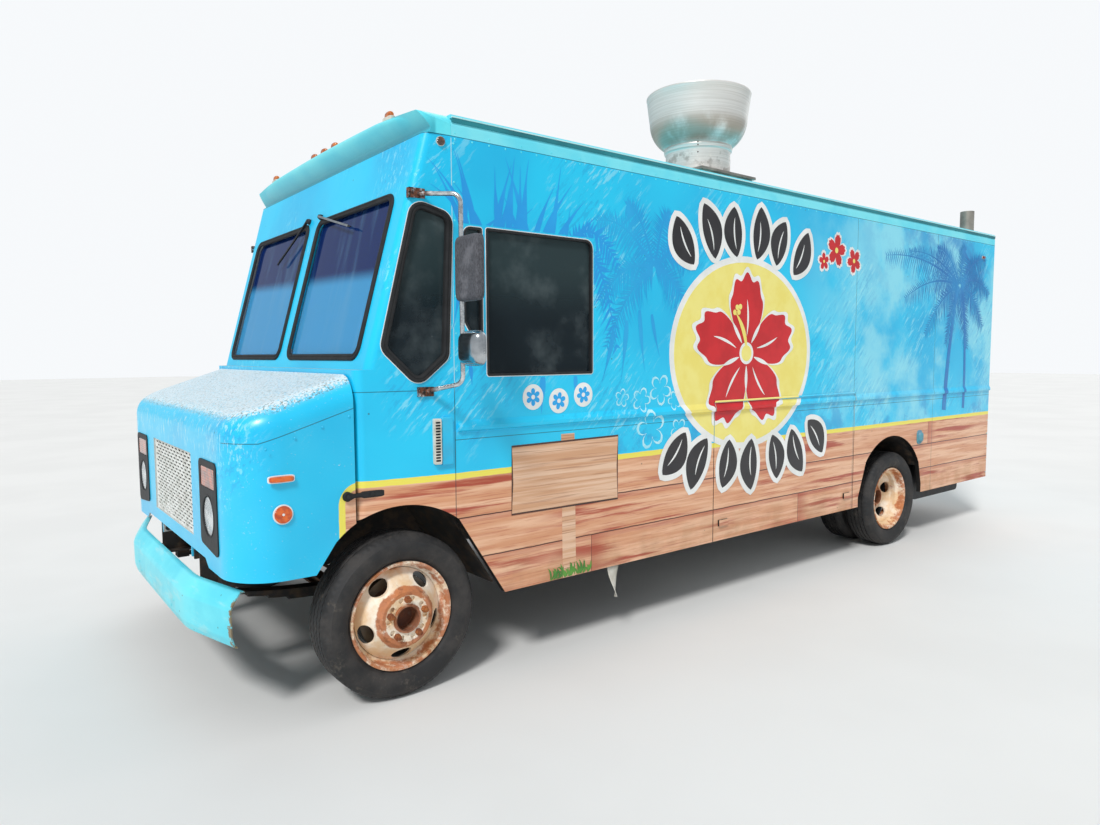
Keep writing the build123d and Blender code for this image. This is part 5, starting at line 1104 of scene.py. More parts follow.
blades, pivots = [], []
for pivotY, tipY, drop, finish in wiper["arms"]:
    start, end = np.array([pivotY, wiper["pivotUp"]]), np.array([tipY, wiper["pivotUp"] - drop])
    way = unit(end - start)
    share = np.linspace(0, 1, 14)
    rise = 0.022 - 0.004 * share - 0.003 * np.sin(np.pi * share)
    path = onGlass(np.column_stack([start + share[:, None] * (end - start), rise]))
    arm = carried(path, glassNormal, roundProfile(0.013, 0.006, 10), closed=False)
    makePiece("wiper_arm_" + ("left" if pivotY > 0 else "right"), *arm, finish, "black_plastic", "truck")
    middle = end + way * (0.030 - wiper["blade"] / 2)
    run = middle + np.linspace(-0.5, 0.5, 12)[:, None] * wiper["blade"] * way
    for width, height, out in ((0.009, 0.004, 0.0175), (0.004, 0.009, 0.0125)):
        lying = onGlass(np.column_stack([run, np.full(len(run), out)]))
        blades.append(carried(lying, glassNormal, roundProfile(width, height, 8), closed=False))
    for share in (-0.36, -0.12, 0.12, 0.36):
        place = onGlass(np.array([[*(middle + share * wiper["blade"] * way), 0.016]]))[0]
        blades.append(stacked(place, glassNormal, (0, way[0], 0), 0.010, 0.0062, [(-0.004, 1), (0.003, 1)], 6.0, 16))
    foot = onGlass(np.array([[pivotY, wiper["pivotUp"], 0.0]]))[0]
    pivots.append(stacked(foot, glassNormal, (0, 1, 0), 0.016, 0.016,
                          [(-0.002, 1), (0.012, 1), (0.016, 0.78), (0.022, 0.72), (0.024, 0.5)], 2.0, 24))
makePiece("wiper_blades", *joined(blades), "rubber", "rubber", "truck")
pivotPiece = makePiece("wiper_pivots", *joined(pivots), "plastic", "black_plastic", "truck")
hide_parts("wipers")


# Roof fan: a spun bowl over its neck and collar, thin-walled, with a rolled rim

fan = {"x": at(-2.829), "y": 0.450, "sheet": 0.005}


def fanProfile(f):
    # (height, radius) pairs up the outside, round the rolled rim and down the inside
    arc = arcThrough((3.128, 0.250), (3.200, 0.322), (3.310, 0.356), 18)
    outside = [(2.908, 0.236), (3.074, 0.236), (3.080, 0.2375), (3.085, 0.240), (3.091, 0.246), (3.104, 0.2475),
               (3.109, 0.2505), (3.114, 0.2475), (3.124, 0.2465)] + arc.tolist()
    wall = [(3.400, 0.3680), (3.484, 0.3785)]
    rim = [(3.488, 0.3810), (3.4935, 0.3812), (3.4975, 0.3785), (3.4975, 0.3752), (3.494, 0.3730)]
    inside = [(z, r - f["sheet"]) for z, r in (outside + wall)[::-1] if z < 3.48]
    return outside + wall + rim + inside


profile = fanProfile(fan)
bowl = makePiece("spun_fan_bowl", turned(profile, (fan["x"], fan["y"], 0), (0, 0, 1), 112)[0],
                 gridFaces(112, len(profile), True, True), "spun", "bare_aluminium", "truck")
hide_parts("fan_bowl")
towards = math.atan2(cameraPlace["place"][1] - fan["y"], cameraPlace["place"][0] - fan["x"])
spoke = np.array([math.cos(towards), math.sin(towards), 0.0])
fanRivets = []
for z, radius in ((3.098, 0.2465), (3.118, 0.2465), (3.139, 0.259), (3.352, 0.358), (3.05, 0.236)):
    fanRivets.append(repeated(dome(0.0055, 0.0035), [np.array([fan["x"], fan["y"], z]) + spoke * radius], spoke))
makePiece("fan_rivets", *joined(fanRivets), "iron", "bare_aluminium", "truck")
print("wipers and fan made")


# Rubber hood latches

latch = {"z": 0.985, "front": 0.275, "rear": 0.070, "side": 1.1245}


def latchOutline(l):
    # a round head with a bolt, a narrow neck and a long round-ended grip, as (x, z)
    head = [(at(l["front"] - 0.021) + 0.021 * np.cos(t), l["z"] + 0.022 * np.sin(t))
            for t in np.linspace(2.2, -2.2, 16)]
    grip = [(at(l["rear"] + 0.017) - 0.017 * np.cos(t), l["z"] + 0.017 * np.sin(t))
            for t in np.linspace(-1.4, 1.4, 12)]
    neck = [(at(0.222), l["z"] - 0.009), (at(0.192), l["z"] - 0.010), (at(0.178), l["z"] - 0.015)]
    return np.array(head + neck + grip + [(x, 2 * l["z"] - z) for x, z in neck[::-1]])


latches, latchBolts = [], []
for sign in (1, -1):
    latches.append(slab(latchOutline(latch), latch["side"] - 0.004, 0.014, 0.005, sign))
    for ahead in (0.254, 0.140):
        place = (at(ahead), sign * (latch["side"] + 0.010), latch["z"])
        latchBolts.append(stacked(place, (0, sign, 0), (1, 0, 0), 0.009, 0.009,
                                  [(-0.002, 1), (0.003, 1), (0.0045, 0.6)], points=12))
latchPiece = makePiece("rubber_hood_latches", *joined(latches), "rubber", "rubber", "hood")
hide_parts("hood_latches")
makePiece("latch_bolts", *joined(latchBolts), "plastic", "rubber", "hood")

# Grille: a white sheet pierced by staggered slots
grille = {"front": at(0.737) - 0.008, "thick": 0.006, "half": 0.4296, "low": 0.7574, "top": 1.1526, "rows": 22,
          "slots": 11, "share": (0.80, 0.62), "points": 24}


def piercedSheet(g):
    # rows of cells staggered by half a cell, each a ring of quads from a round-ended slot out to its own rectangle:
    # slot = share * half cell * (cos, sin)^(1/3), edge = the same direction carried out to the rectangle
    pitch = np.array([(2 * g["half"] - 0.020) / g["slots"], (g["top"] - g["low"] - 0.016) / g["rows"]])
    turn = np.linspace(0, 2 * np.pi, g["points"], endpoint=False)
    way = np.stack([np.cbrt(np.cos(turn)), np.cbrt(np.sin(turn))], -1)
    reach = np.abs(way).max(1, keepdims=True)
    column, row = (a.ravel() for a in np.meshgrid(np.arange(g["slots"]), np.arange(g["rows"])))
    kept = (row % 2 == 1) | (column < g["slots"] - 1)
    column, row = column[kept], row[kept]
    centre = np.stack([0.010 - g["half"] + pitch[0] * (column + 1.0 - 0.5 * (row % 2)),
                       g["low"] + 0.008 + pitch[1] * (row + 0.5)], -1)
    rings = np.stack([way / reach * pitch / 2, way * np.asarray(g["share"]) * pitch / 2])
    cells = centre[:, None, None] + rings[None]
    quads = gridFaces(2, g["points"], closeColumns=True)[None] + np.arange(len(cells))[:, None, None] * 2 * g["points"]
    half, low, top = g["half"], g["low"], g["top"]
    strips = [(-half, half, low, low + 0.008), (-half, half, top - 0.008, top)]
    for i in range(g["rows"]):
        inset = 0.010 + (0 if i % 2 else pitch[0] / 2)
        z0 = low + 0.008 + pitch[1] * i
        strips += [(-half, -half + inset, z0, z0 + pitch[1]), (half - inset, half, z0, z0 + pitch[1])]
    edges = np.array([[(y0, z0), (y1, z0), (y1, z1), (y0, z1)] for y0, y1, z0, z1 in strips]).reshape(-1, 2)
    flat = np.concatenate([cells.reshape(-1, 2), edges])
    points = np.column_stack([np.full(len(flat), g["front"]), flat])
    first = len(flat) - len(edges)
    return points, np.concatenate([quads.reshape(-1, 4), np.arange(first, len(flat)).reshape(-1, 4)])


grillePiece = makePiece("pierced_grille_sheet", *piercedSheet(grille), "grille", "grille_paint", "hood", smooth=False,
                        shell=False)
edited(grillePiece.data, lambda work: bmesh.ops.remove_doubles(work, verts=work.verts, dist=1e-6))
edited(grillePiece.data, lambda work: faceAlong(work, (1, 0, 0)))
thicken(grillePiece, grille["thick"])
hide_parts("grille")

# Bumper: a painted shell with domed bolts, on two brackets
bumper = {"boltX": at(0.8365), "bolts": ((-0.43, 0.46), (-0.37, 0.42), (0.37, 0.42), (0.43, 0.46)),
          "bracket": (at(0.715), 0.399, 0.527), "bracketLong": 0.1155,
          "face": at(0.838), "straight": 0.620, "end": 1.000, "slope": 0.2763, "soft": 0.050, "across": 81,
          "corners": [(-0.070, 0.605), (-0.045, 0.605), (-0.008, 0.553), (0.000, 0.532), (-0.002, 0.410),
                      (-0.012, 0.373), (-0.026, 0.365), (-0.030, 0.371), (-0.018, 0.380), (-0.008, 0.411),
                      (-0.006, 0.531), (-0.0135, 0.549), (-0.0475, 0.599), (-0.070, 0.599)],
          "radii": [0.002, 0.016, 0.030, 0.030, 0.040, 0.012, 0.002, 0.002, 0.008, 0.030, 0.024, 0.024, 0.010, 0.002]}


def bumperShell(b):
    # the section carried along x = face - slope * softened(|y| - straight), square to that line, ends closed
    y = np.linspace(-b["end"], b["end"], b["across"])
    past = np.abs(y) - b["straight"]
    back = b["slope"] * 0.5 * (past + np.sqrt(past ** 2 + b["soft"] ** 2))
    back -= back.min()
    lineX = b["face"] - back
    along = np.stack([np.gradient(lineX, y), np.ones_like(y)], -1)
    along /= np.linalg.norm(along, axis=1, keepdims=True)
    section = roundedPath(b["corners"], b["radii"], 5)
    points = np.stack(np.broadcast_arrays(lineX[:, None] + along[:, 1:] * section[None, :, 0],
                                          y[:, None] - along[:, :1] * section[None, :, 0],
                                          section[None, :, 1]), -1)
    return points.reshape(-1, 3), tubeFaces(b["across"], len(section))


brackets = [stacked(np.array(bumper["bracket"]) * (1, sign, 1), (1, 0, 0), (0, 1, 0), 0.030, 0.018,
                    [(0, 1), (bumper["bracketLong"], 1)], 16.0, 48) for sign in (1, -1)]
bumperPiece = makePiece("front_bumper_shell", *bumperShell(bumper), "bumper", "bumper_paint", "truck")
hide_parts("front_bumper")
makePiece("bumper_brackets", *joined(brackets), "chassis", "frame_black", "truck")
bumperBolts = [(bumper["boltX"], y, z) for y, z in bumper["bolts"]]
makePiece("bumper_bolts", *repeated(dome(0.008, 0.003, 10), bumperBolts, (1, 0, 0)), "bumper", "bumper_paint", "truck")

# The roof cap's brow is a rolled edge: its front swells, and sinks back into the cap before the corners
brow = {"cove": (at(-0.1545), 2.6675), "slope": 0.054 / 0.074, "noseZ": 2.742, "crown": 2.764, "fall": 0.0397,
        "reach": (0.047, 0.021), "back": 0.032, "half": 1.085, "fade": 0.16, "thick": 0.004, "across": 97, "steps": 25}


def rolledBrow(b):
    # a curve from the cove to the top, eased into the cap's own straight line towards both ends;
    # the top follows the roof's crown: z = crown - fall (y / 1.124)^2
    y = np.linspace(-b["half"], b["half"], b["across"])[:, None]
    t = np.linspace(0, 1, b["steps"])[None]
    roof = b["crown"] - b["fall"] * (y / 1.124) ** 2
    coveX, coveZ = b["cove"]
    noseZ = np.minimum(b["noseZ"], roof - 0.004)
    noseX = coveX + b["slope"] * (noseZ - coveZ)
    scale = (noseZ - coveZ) / (b["noseZ"] - coveZ)
    topX, topZ = noseX - b["back"], roof + 0.0006
    rollX = curve(t, coveX, noseX + b["reach"][0] * scale, topX)
    rollZ = curve(t, coveZ, noseZ + b["reach"][1] * scale, topZ)
    low, high = np.clip(t / 0.7, 0, 1), np.clip((t - 0.7) / 0.3, 0, 1)
    plainX = coveX + (noseX - coveX) * low + (topX - noseX) * high
    plainZ = coveZ + (noseZ - coveZ) * low + (topZ - noseZ) * high
    fall = np.clip((b["half"] - np.abs(y)) / b["fade"], 0, 1)
    fall = fall ** 2 * (3 - 2 * fall)
    x = plainX + (rollX - plainX) * fall - 0.003 * (1 - fall)
    z = np.minimum(plainZ + (rollZ - plainZ) * fall, roof + 0.0012) - 0.001 * (1 - fall)
    x, z = (np.concatenate([v, v[:, ::-1] - b["thick"]], 1) for v in (x, z))
    points = np.stack([x, np.broadcast_to(y, x.shape), z], -1)
    return points.reshape(-1, 3), tubeFaces(b["across"], 2 * b["steps"])


makePiece("rolled_cap_brow", *rolledBrow(brow), "cap", "roof_paint", "truck")

# Cab vent: a blue pocket behind a pale frame with a row of slots, drawn as flat black patches for their shaded openings
vent = {"front": -0.156, "rear": -0.194, "pocketRear": -0.254, "low": 1.096, "high": 1.312,
        "slotAhead": -0.175, "slotOut": 0.0213, "slotInset": 0.018, "slotPitch": 0.0135}
wallNormal = np.array([math.sin(taper), math.cos(taper), 0.0])
wallAlong = np.array([-math.cos(taper), math.sin(taper), 0.0])


def onCab(u, z, out=0.0):
    # a place on the cab's tapering side, u ahead of the front axle
    return np.array([at(u), sideAt(u), z]) + out * wallNormal


def cabPlate(front, rear, low, high, levels):
    # a square-cornered plate standing proud of the cab's side
    centre = (onCab(front, 0) + onCab(rear, 0)) / 2 + (0, 0, (low + high) / 2)
    half = np.linalg.norm(onCab(front, 0) - onCab(rear, 0)) / 2
    return stacked(centre, wallNormal, wallAlong, half, (high - low) / 2, levels, 14.0, 56)


makePiece("vent_pocket", *cabPlate(vent["rear"] - 0.003, vent["pocketRear"], vent["low"] - 0.008, vent["high"] + 0.006,
                                   [(-0.002, 1), (0.013, 1), (0.016, 0.95)]), "pocketBlue", "body_paint", "truck")
makePiece("vent_frame", *cabPlate(vent["front"], vent["rear"], vent["low"], vent["high"],
                                  [(-0.002, 1), (0.0195, 1), (0.0215, 0.95)]), "lampWhite", "body_paint", "truck")
slotEnds = [onCab(vent["slotAhead"], z, vent["slotOut"])
            for z in (vent["low"] + vent["slotInset"], vent["high"] - vent["slotInset"])]
slotPlaces = lineOf(*slotEnds, vent["slotPitch"])
# painted shade: each slot is a thin black plate on the frame, standing for the shade inside its opening
slotShape = stacked((0, 0, 0), (0, 0, 1), (1, 0, 0), 0.0045, 0.0120, [(-0.001, 1), (0.0006, 1)], 5.0, 16)
quads = gridFaces(2, 16, closeColumns=True)
slots = makePiece("vent_slots", *repeated((slotShape[0], quads), slotPlaces, wallNormal), "rubber", "rubber", "truck",
                  shell=False)
edited(slots.data, lambda work: bmesh.ops.holes_fill(work, edges=[e for e in work.edges if e.is_boundary], sides=0))
faceOutwards(slots.data)

# Gutter along the roof, its lip paler than its channel, whose dark teal is painted shade under the lip
gutter = {"z": 2.701, "front": at(-0.275), "rear": bodyRearX + 0.004,
          "channel": [(-0.014, -0.030), (-0.014, 0.003), (-0.004, 0.004), (0.006, 0.004), (0.006, -0.030)],
          "lip": [(0.0058, -0.034), (0.0058, 0.005), (0.0075, 0.0068), (0.0120, 0.0060), (0.0130, 0.001),
                  (0.0130, -0.034)]}
gutterParts, gutterLips = [], []
for sign in (1, -1):
    run = np.array([[gutter["rear"], sign * halfWidth, gutter["z"]], [gutter["front"], sign * halfWidth, gutter["z"]]])
    for key, pile in (("channel", gutterParts), ("lip", gutterLips)):
        pile.append(carried(run, (0, sign, 0), [(z * sign, y) for z, y in gutter[key]], closed=False))
makePiece("roof_gutter_channel", *joined(gutterParts), "gutterShade", "roof_paint", "truck")
makePiece("roof_gutter_lip", *joined(gutterLips), "gutterLip", "roof_paint", "truck")

# Socket cover, and a torn splash flap under the floor's edge
socket = {"x": at(-4.872), "z": 0.889, "halfLong": 0.044, "halfHigh": 0.060,
          "steps": [(-0.001, 1), (0.006, 1), (0.008, 0.96), (0.009, 0.72), (0.019, 0.70), (0.026, 0.6), (0.030, 0.35)]}
cover = stacked((socket["x"], halfWidth, socket["z"]), (0, 1, 0), (1, 0, 0), socket["halfLong"], socket["halfHigh"],
                socket["steps"], 3.0, 40)
makePiece("side_socket_cover", *cover, "tealPlug", "body_paint", "truck")
flap = {"front": -1.262, "rear": -1.352, "tip": -1.318, "top": 0.402, "drop": 0.187, "curl": 0.020,
        "y": halfWidth - 0.010, "thick": 0.002}
across, down = np.meshgrid(np.linspace(0, 1, 7), np.linspace(0, 1, 9))
frontEdge = flap["front"] + (flap["tip"] - flap["front"]) * down
rearEdge = flap["rear"] + (flap["tip"] - flap["rear"]) * down * 0.86
curl = flap["curl"] * down ** 2 * np.cos(2.2 * across) - 0.006 * np.sin(5 * down)
torn = np.stack([at(frontEdge + (rearEdge - frontEdge) * across), flap["y"] + curl,
                 flap["top"] - flap["drop"] * down * (0.94 + 0.06 * across)], -1)
flapPiece = makePiece("torn_splash_flap", torn.reshape(-1, 3), gridFaces(9, 7), "lampWhite", "rubber", "truck",
                      shell=False)
thicken(flapPiece, flap["thick"])
print("latches, vent, gutter and small fittings made")


# Stickers: flat printed shapes laid over the side wall and its rub rail

door = {"rear": at(-3.824), "front": at(-2.172), "top": 1.300, "gapRear": at(-3.830), "gapFront": at(-2.166),
        "gapTop": 1.306}
railHeights = [1.240, 1.248, 1.266, 1.298]
railReach = [0.0, 0.014, 0.014, 0.0]
windowHoles = [(at(-0.446), at(-0.314), 1.684, 2.231), (at(-1.155), at(-0.443), 1.493, 2.234)]


def splitAt(work, axis, *values):
    # cuts the faces along planes across one axis
    normal = Vector([float(i == axis) for i in range(3)])
    for value in values:
        geometry = list(work.verts) + list(work.edges) + list(work.faces)
        bmesh.ops.bisect_plane(work, geom=geometry, dist=1e-6, plane_co=normal * value, plane_no=normal)


def removeFaces(work, box, inside):
    # deletes the faces whose middle lies inside a box of (x, z), or those outside it
    x0, x1, z0, z1 = box
    middles = [(face, face.calc_center_median()) for face in work.faces]
    gone = [face for face, m in middles if (x0 < m.x < x1 and z0 < m.z < z1) == inside]
    bmesh.ops.delete(work, geom=gone, context="FACES")


def layOnSide(name, outlines, finish, proud, sign=1, holes=(), body="truck", thick=0.0006):
    # closed outlines of (x, z) laid on one side wall, bent over the rub rail, cut at windows and the locker door
    work = bmesh.new()
    for i, outline in enumerate(outlines):
        corners = [work.verts.new((x, i * 1.0e-6, z)) for x, z in outline]
        work.faces.new(corners)
    work.normal_update()
    bmesh.ops.triangulate(work, faces=work.faces)
    low = min(v.co.z for v in work.verts)
    high = max(v.co.z for v in work.verts)
    left, right = min(v.co.x for v in work.verts), max(v.co.x for v in work.verts)
    if sign > 0 and low < railHeights[-1]:
        splitAt(work, 2, *railHeights)
    if right > at(cabSeamAhead):
        splitAt(work, 0, at(cabSeamAhead))
    cuts = [hole for hole in holes if hole[1] > left and hole[0] < right and hole[3] > low and hole[2] < high]
    doorCut = sign > 0 and low < door["top"] and left < door["front"] and right > door["rear"]
    gap = (door["gapRear"], door["gapFront"], 0.0, door["gapTop"])
    if doorCut:
        cuts.append(gap)
        splitAt(work, 0, door["rear"], door["front"])
        splitAt(work, 2, door["top"])
    for x0, x1, z0, z1 in cuts:
        splitAt(work, 0, x0, x1)
        splitAt(work, 2, z0, z1)
    flat = bpy.data.meshes.new(name)
    work.to_mesh(flat)
    work.free()
    panel = (door["rear"], door["front"], 0.0, door["top"])
    portions = [("", body, cuts, True)] + ([("_on_door", "locker_door", [panel], False)] if doorCut else [])
    for suffix, rides, boxes, inside in portions:
        part = bmesh.new()
        part.from_mesh(flat)
        for box in boxes:
            removeFaces(part, box, inside)
        mesh = bpy.data.meshes.new(name + suffix)
        part.to_mesh(mesh)
        part.free()
        points = verticesOf(mesh).astype(float)
        reach = np.interp(points[:, 2], railHeights, railReach) if sign > 0 else 0.0
        reach = reach - np.maximum(0.0, points[:, 0] - at(cabSeamAhead)) * math.tan(taper)
        points[:, 1] = sign * (halfWidth + reach + proud + points[:, 1])
        moveVertices(mesh, points)
        edited(mesh, lambda work: faceAlong(work, (0, sign, 0)))
        mesh.materials.append(finishes[finish])
        piece = addObject(name + suffix, mesh)
        if thick:
            thicken(piece, thick)
        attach(piece, rides)


def ovalOutline(x, z, a, b, points=72):
    # (x + a cos, z + b sin)
    turn = np.linspace(0, 2 * np.pi, points, endpoint=False)
    return np.stack([x + a * np.cos(turn), z + b * np.sin(turn)], -1)


def turnedTo(x, z, turn, outline):
    # an outline drawn along +X, turned and moved to (x, z)
    c, sn = math.cos(turn), math.sin(turn)
    return np.stack([x + outline[:, 0] * c - outline[:, 1] * sn, z + outline[:, 0] * sn + outline[:, 1] * c], -1)


def placed(corners):
    # corners given as (ahead of the front axle, z)
    return np.array([(at(a), z) for a, z in corners], float)


def leaf(x, z, length, width, turn, bend):
    # two arcs meeting in points: half width = width/2 sin(pi s)^0.75, the middle line bent by a parabola
    s = np.linspace(0, 1, 26)
    half = width / 2 * np.sin(np.pi * s) ** 0.75
    middle = bend * length * 4 * s * (1 - s)
    upper = np.stack([s * length, middle + half], -1)
    lower = np.stack([s * length, middle - half], -1)[::-1][1:-1]
    return turnedTo(x, z, turn, np.concatenate([upper, lower]))


def blade(x, z, length, width, turn, bend, points=18):
    # a long pointed blade, widest a third of the way up, its middle line curling over as bend * s^2
    s = np.linspace(0, 1, points)
    half = width / 2 * (1 - s) ** 0.7 * (0.45 + 0.55 * np.sin(np.pi * np.clip(s * 1.4, 0, 1)) ** 0.8)
    curl = bend * length * s ** 2
    return turnedTo(x, z, turn, np.concatenate([np.stack([s * length, curl + half], -1),
                                                np.stack([s * length, curl - half], -1)[::-1][1:]]))


def bladesOf(rows):
    return [blade(at(a), z, length, width, math.radians(turn), bend) for a, z, length, width, turn, bend in rows]


def frond(base, tip, lift, count, length, seed, hang, width):
    # a rib arched up by a parabola from base to tip, thin leaflets hanging off it, longest in the middle
    base, tip = placed((base, tip))
    random = np.random.default_rng(seed)
    share = np.linspace(0.04, 1.0, count)[:, None]
    crest = (base + tip) / 2 + (0, 2 * lift)
    rib = curve(share, base, crest, tip)
    way = 2 * (1 - share) * (crest - base) + 2 * share * (tip - crest)
    way /= np.maximum(np.linalg.norm(way, axis=1, keepdims=True), 1e-9)
    side = np.stack([-way[:, 1], way[:, 0]], -1)
    thin = 0.010 * (1.15 - share)
    outlines = [np.concatenate([rib + side * thin, (rib - side * thin)[::-1]])]
    size = length * (0.45 + 0.65 * np.sin(np.pi * share[:, 0] ** 0.8)) * random.uniform(0.75, 1.15, count)
    for hand, reach, droop in ((-1, 1.0, hang), (1, 0.55, hang * 0.35)):
        hand = hand if tip[0] >= base[0] else -hand
        for place, ahead, across, long, wobble in zip(rib, way, side, size, random.uniform(-0.15, 0.15, count)):
            out = 0.62 * ahead + hand * across - (0, droop)
            outlines.append(blade(*place, long * reach, width, math.atan2(out[1], out[0]) + wobble, 0.10 * hand, 9))
    return outlines


def trunk(path, widthLow, widthHigh):
    # a leaning trunk: two curved edges about a line
    share = np.linspace(0, 1, 24)[:, None]
    line = curve(share, *placed(path))
    half = np.interp(share, [0, 1], [widthLow, widthHigh]) / 2
    across = np.array([1.0, 0.1])
    return [np.concatenate([line + across * half, (line - across * half)[::-1]])]


def crown(centre, tips, lift, count, length, seed, hang, width):
    # a palm's head: one frond to each tip
    outlines = []
    for i, tip in enumerate(tips):
        outlines += frond(centre, tip, lift, count, length, seed + i, hang, width)
    return outlines


# long smooth blades rise over the side windows and fall beside them
blades = [(-0.37, 2.13, 0.26, 0.040, 128, 0.20), (-0.35, 2.16, 0.36, 0.044, 68, -0.10),
          (-0.40, 2.14, 0.43, 0.046, 84, -0.14), (-0.45, 2.16, 0.30, 0.040, 70, -0.25),
          (-0.50, 2.14, 0.42, 0.052, 100, 0.10), (-0.54, 2.16, 0.36, 0.044, 80, 0.10),
          (-0.59, 2.15, 0.44, 0.052, 92, 0.06), (-0.64, 2.15, 0.40, 0.048, 98, -0.08),
          (-0.69, 2.16, 0.43, 0.050, 86, 0.14), (-0.74, 2.15, 0.36, 0.042, 105, 0.16),
          (-0.79, 2.16, 0.40, 0.046, 112, 0.18), (-0.84, 2.17, 0.24, 0.032, 96, 0.12),
          (-0.88, 2.17, 0.34, 0.038, 122, 0.14), (-0.94, 2.17, 0.22, 0.030, 108, -0.10),
          (-0.98, 2.17, 0.30, 0.034, 128, 0.18), (-1.02, 2.18, 0.20, 0.028, 118, 0.12),
          (-0.325, 2.06, 0.34, 0.040, -84, 0.08), (-0.447, 1.98, 0.46, 0.040, -92, 0.05),
          (-0.36, 2.20, 0.36, 0.036, 75, -0.35), (-0.35, 2.22, 0.25, 0.030, 64, -0.40),
          (-0.34, 2.24, 0.33, 0.034, 96, -0.30), (-0.52, 2.15, 0.30, 0.040, 112, -0.12),
          (-0.66, 2.16, 0.26, 0.036, 78, -0.22), (-0.72, 2.16, 0.44, 0.046, 74, -0.06),
          (-0.86, 2.17, 0.42, 0.040, 98, 0.02), (-0.57, 2.15, 0.26, 0.036, 118, 0.24),
          (-0.80, 1.50, 0.20, 0.050, -88, 0.02), (-1.02, 1.50, 0.13, 0.036, -92, 0.02),
          (-0.36, 1.56, 0.10, 0.030, -95, 0.0)]
palmFront = bladesOf(blades) + frond((-0.98, 2.20), (-1.34, 2.08), 0.12, 20, 0.15, 5, 0.45, 0.020)
palmFront += frond((-1.10, 2.14), (-1.32, 1.66), 0.14, 18, 0.16, 9, 0.7, 0.020)
layOnSide("print_palm_front", palmFront, "printPalm", 0.0005, holes=windowHoles, thick=0)
palmMiddle = crown((-1.62, 2.09), [(-1.18, 2.33), (-1.40, 2.44), (-1.74, 2.42), (-1.93, 2.16), (-1.94, 1.80),
                                   (-1.20, 1.91), (-1.25, 1.66)], 0.09, 34, 0.17, 17, 0.8, 0.011)
palmMiddle += bladesOf([(-1.30, 1.74, 0.30, 0.040, -78, 0.10), (-1.40, 1.80, 0.34, 0.044, -86, 0.06),
                        (-1.50, 1.86, 0.36, 0.040, -94, -0.06), (-1.60, 1.84, 0.26, 0.034, -100, -0.10)])
layOnSide("print_palm_middle", palmMiddle, "printPalmSoft", 0.0005, thick=0)
palmRear = crown((-5.54, 2.20), [(-5.10, 2.50), (-4.62, 2.44), (-4.24, 2.38), (-4.56, 2.06), (-4.92, 1.78),
                                 (-5.30, 1.70), (-5.72, 1.66), (-6.02, 1.86), (-6.14, 2.16), (-6.05, 2.46),
                                 (-5.62, 2.53)], 0.09, 40, 0.20, 41, 0.6, 0.012)
layOnSide("print_palm_rear", palmRear + trunk([(-5.31, 1.10), (-5.34, 1.6), (-5.50, 2.2)], 0.075, 0.04)
          + trunk([(-5.69, 1.10), (-5.72, 1.6), (-5.60, 2.2)], 0.05, 0.03), "printPalmDark", 0.0005, thick=0)
kerbMiddle = crown((-1.72, 2.06), [(-1.36, 2.40), (-1.62, 2.50), (-2.02, 2.44), (-2.14, 2.14), (-2.02, 1.80),
                                   (-1.40, 1.78)], 0.09, 34, 0.17, 71, 0.8, 0.011)
layOnSide("print_palm_kerb_front", kerbMiddle, "printPalmSoft", 0.0005, sign=-1, thick=0)
kerbRear = crown((-5.30, 2.16), [(-4.80, 2.46), (-4.50, 2.3), (-4.60, 1.96), (-5.00, 1.70), (-5.44, 1.64),
                                 (-5.84, 1.84), (-6.00, 2.2), (-5.78, 2.46), (-5.33, 2.52)], 0.09, 40, 0.20, 83, 0.6,
                 0.012)
layOnSide("print_palm_kerb_rear", kerbRear + trunk([(-5.16, 1.10), (-5.20, 1.6), (-5.28, 2.16)], 0.07, 0.04),
          "printPalmDark", 0.0005, sign=-1, thick=0)

# a generic blossom on a pale disc, between a row of dark leaves above and one below
emblem = {**emblemDisc, "rim": 0.040, "flower": 0.50,
          "upper": [(-1.96, 2.150, 60), (-2.16, 2.200, 71), (-2.37, 2.225, 84), (-2.58, 2.225, 96), (-2.79, 2.200, 108),
                    (-2.99, 2.150, 119)],
          "lower": [(-1.90, 1.130, -50), (-2.10, 1.080, -64), (-2.32, 1.055, -78), (-2.55, 1.045, -90),
                    (-2.78, 1.055, -101), (-3.00, 1.080, -114), (-3.20, 1.130, -128)]}


def petals(x, z, size, count=5, turn=0.3, wobble=0.05, points=220, grow=0.0):
    # r = grow + size * (0.38 + 0.62 |cos(count/2 (t - turn))|^0.6), with a ruffled edge
    t = np.linspace(0, 2 * np.pi, points, endpoint=False)
    lobe = np.abs(np.cos(count / 2 * (t - turn))) ** 0.6
    r = grow + size * (0.38 + 0.62 * lobe) * (1 + wobble * np.sin(count * 5 * t) * lobe)
    return np.stack([x + r * np.cos(t), z + r * np.sin(t)], -1)


def leafRows(e, scale, lengths, width, bend, start=0.0):
    # leaves placed about the disc's centre, so the whole design can be laid smaller elsewhere
    leaves = []
    for row in (e["upper"], e["lower"]):
        for i, ((a, z, turn), length) in enumerate(zip(row, np.tile(lengths, 4))):
            turn = math.radians(turn)
            leaves.append(leaf(e["x"] + (at(a) - emblemDisc["x"]) * scale + start * scale * math.cos(turn),
                               e["z"] + (z - emblemDisc["z"]) * scale + start * scale * math.sin(turn),
                               length * scale, width * scale, turn, bend if i % 2 else -bend))
    return leaves


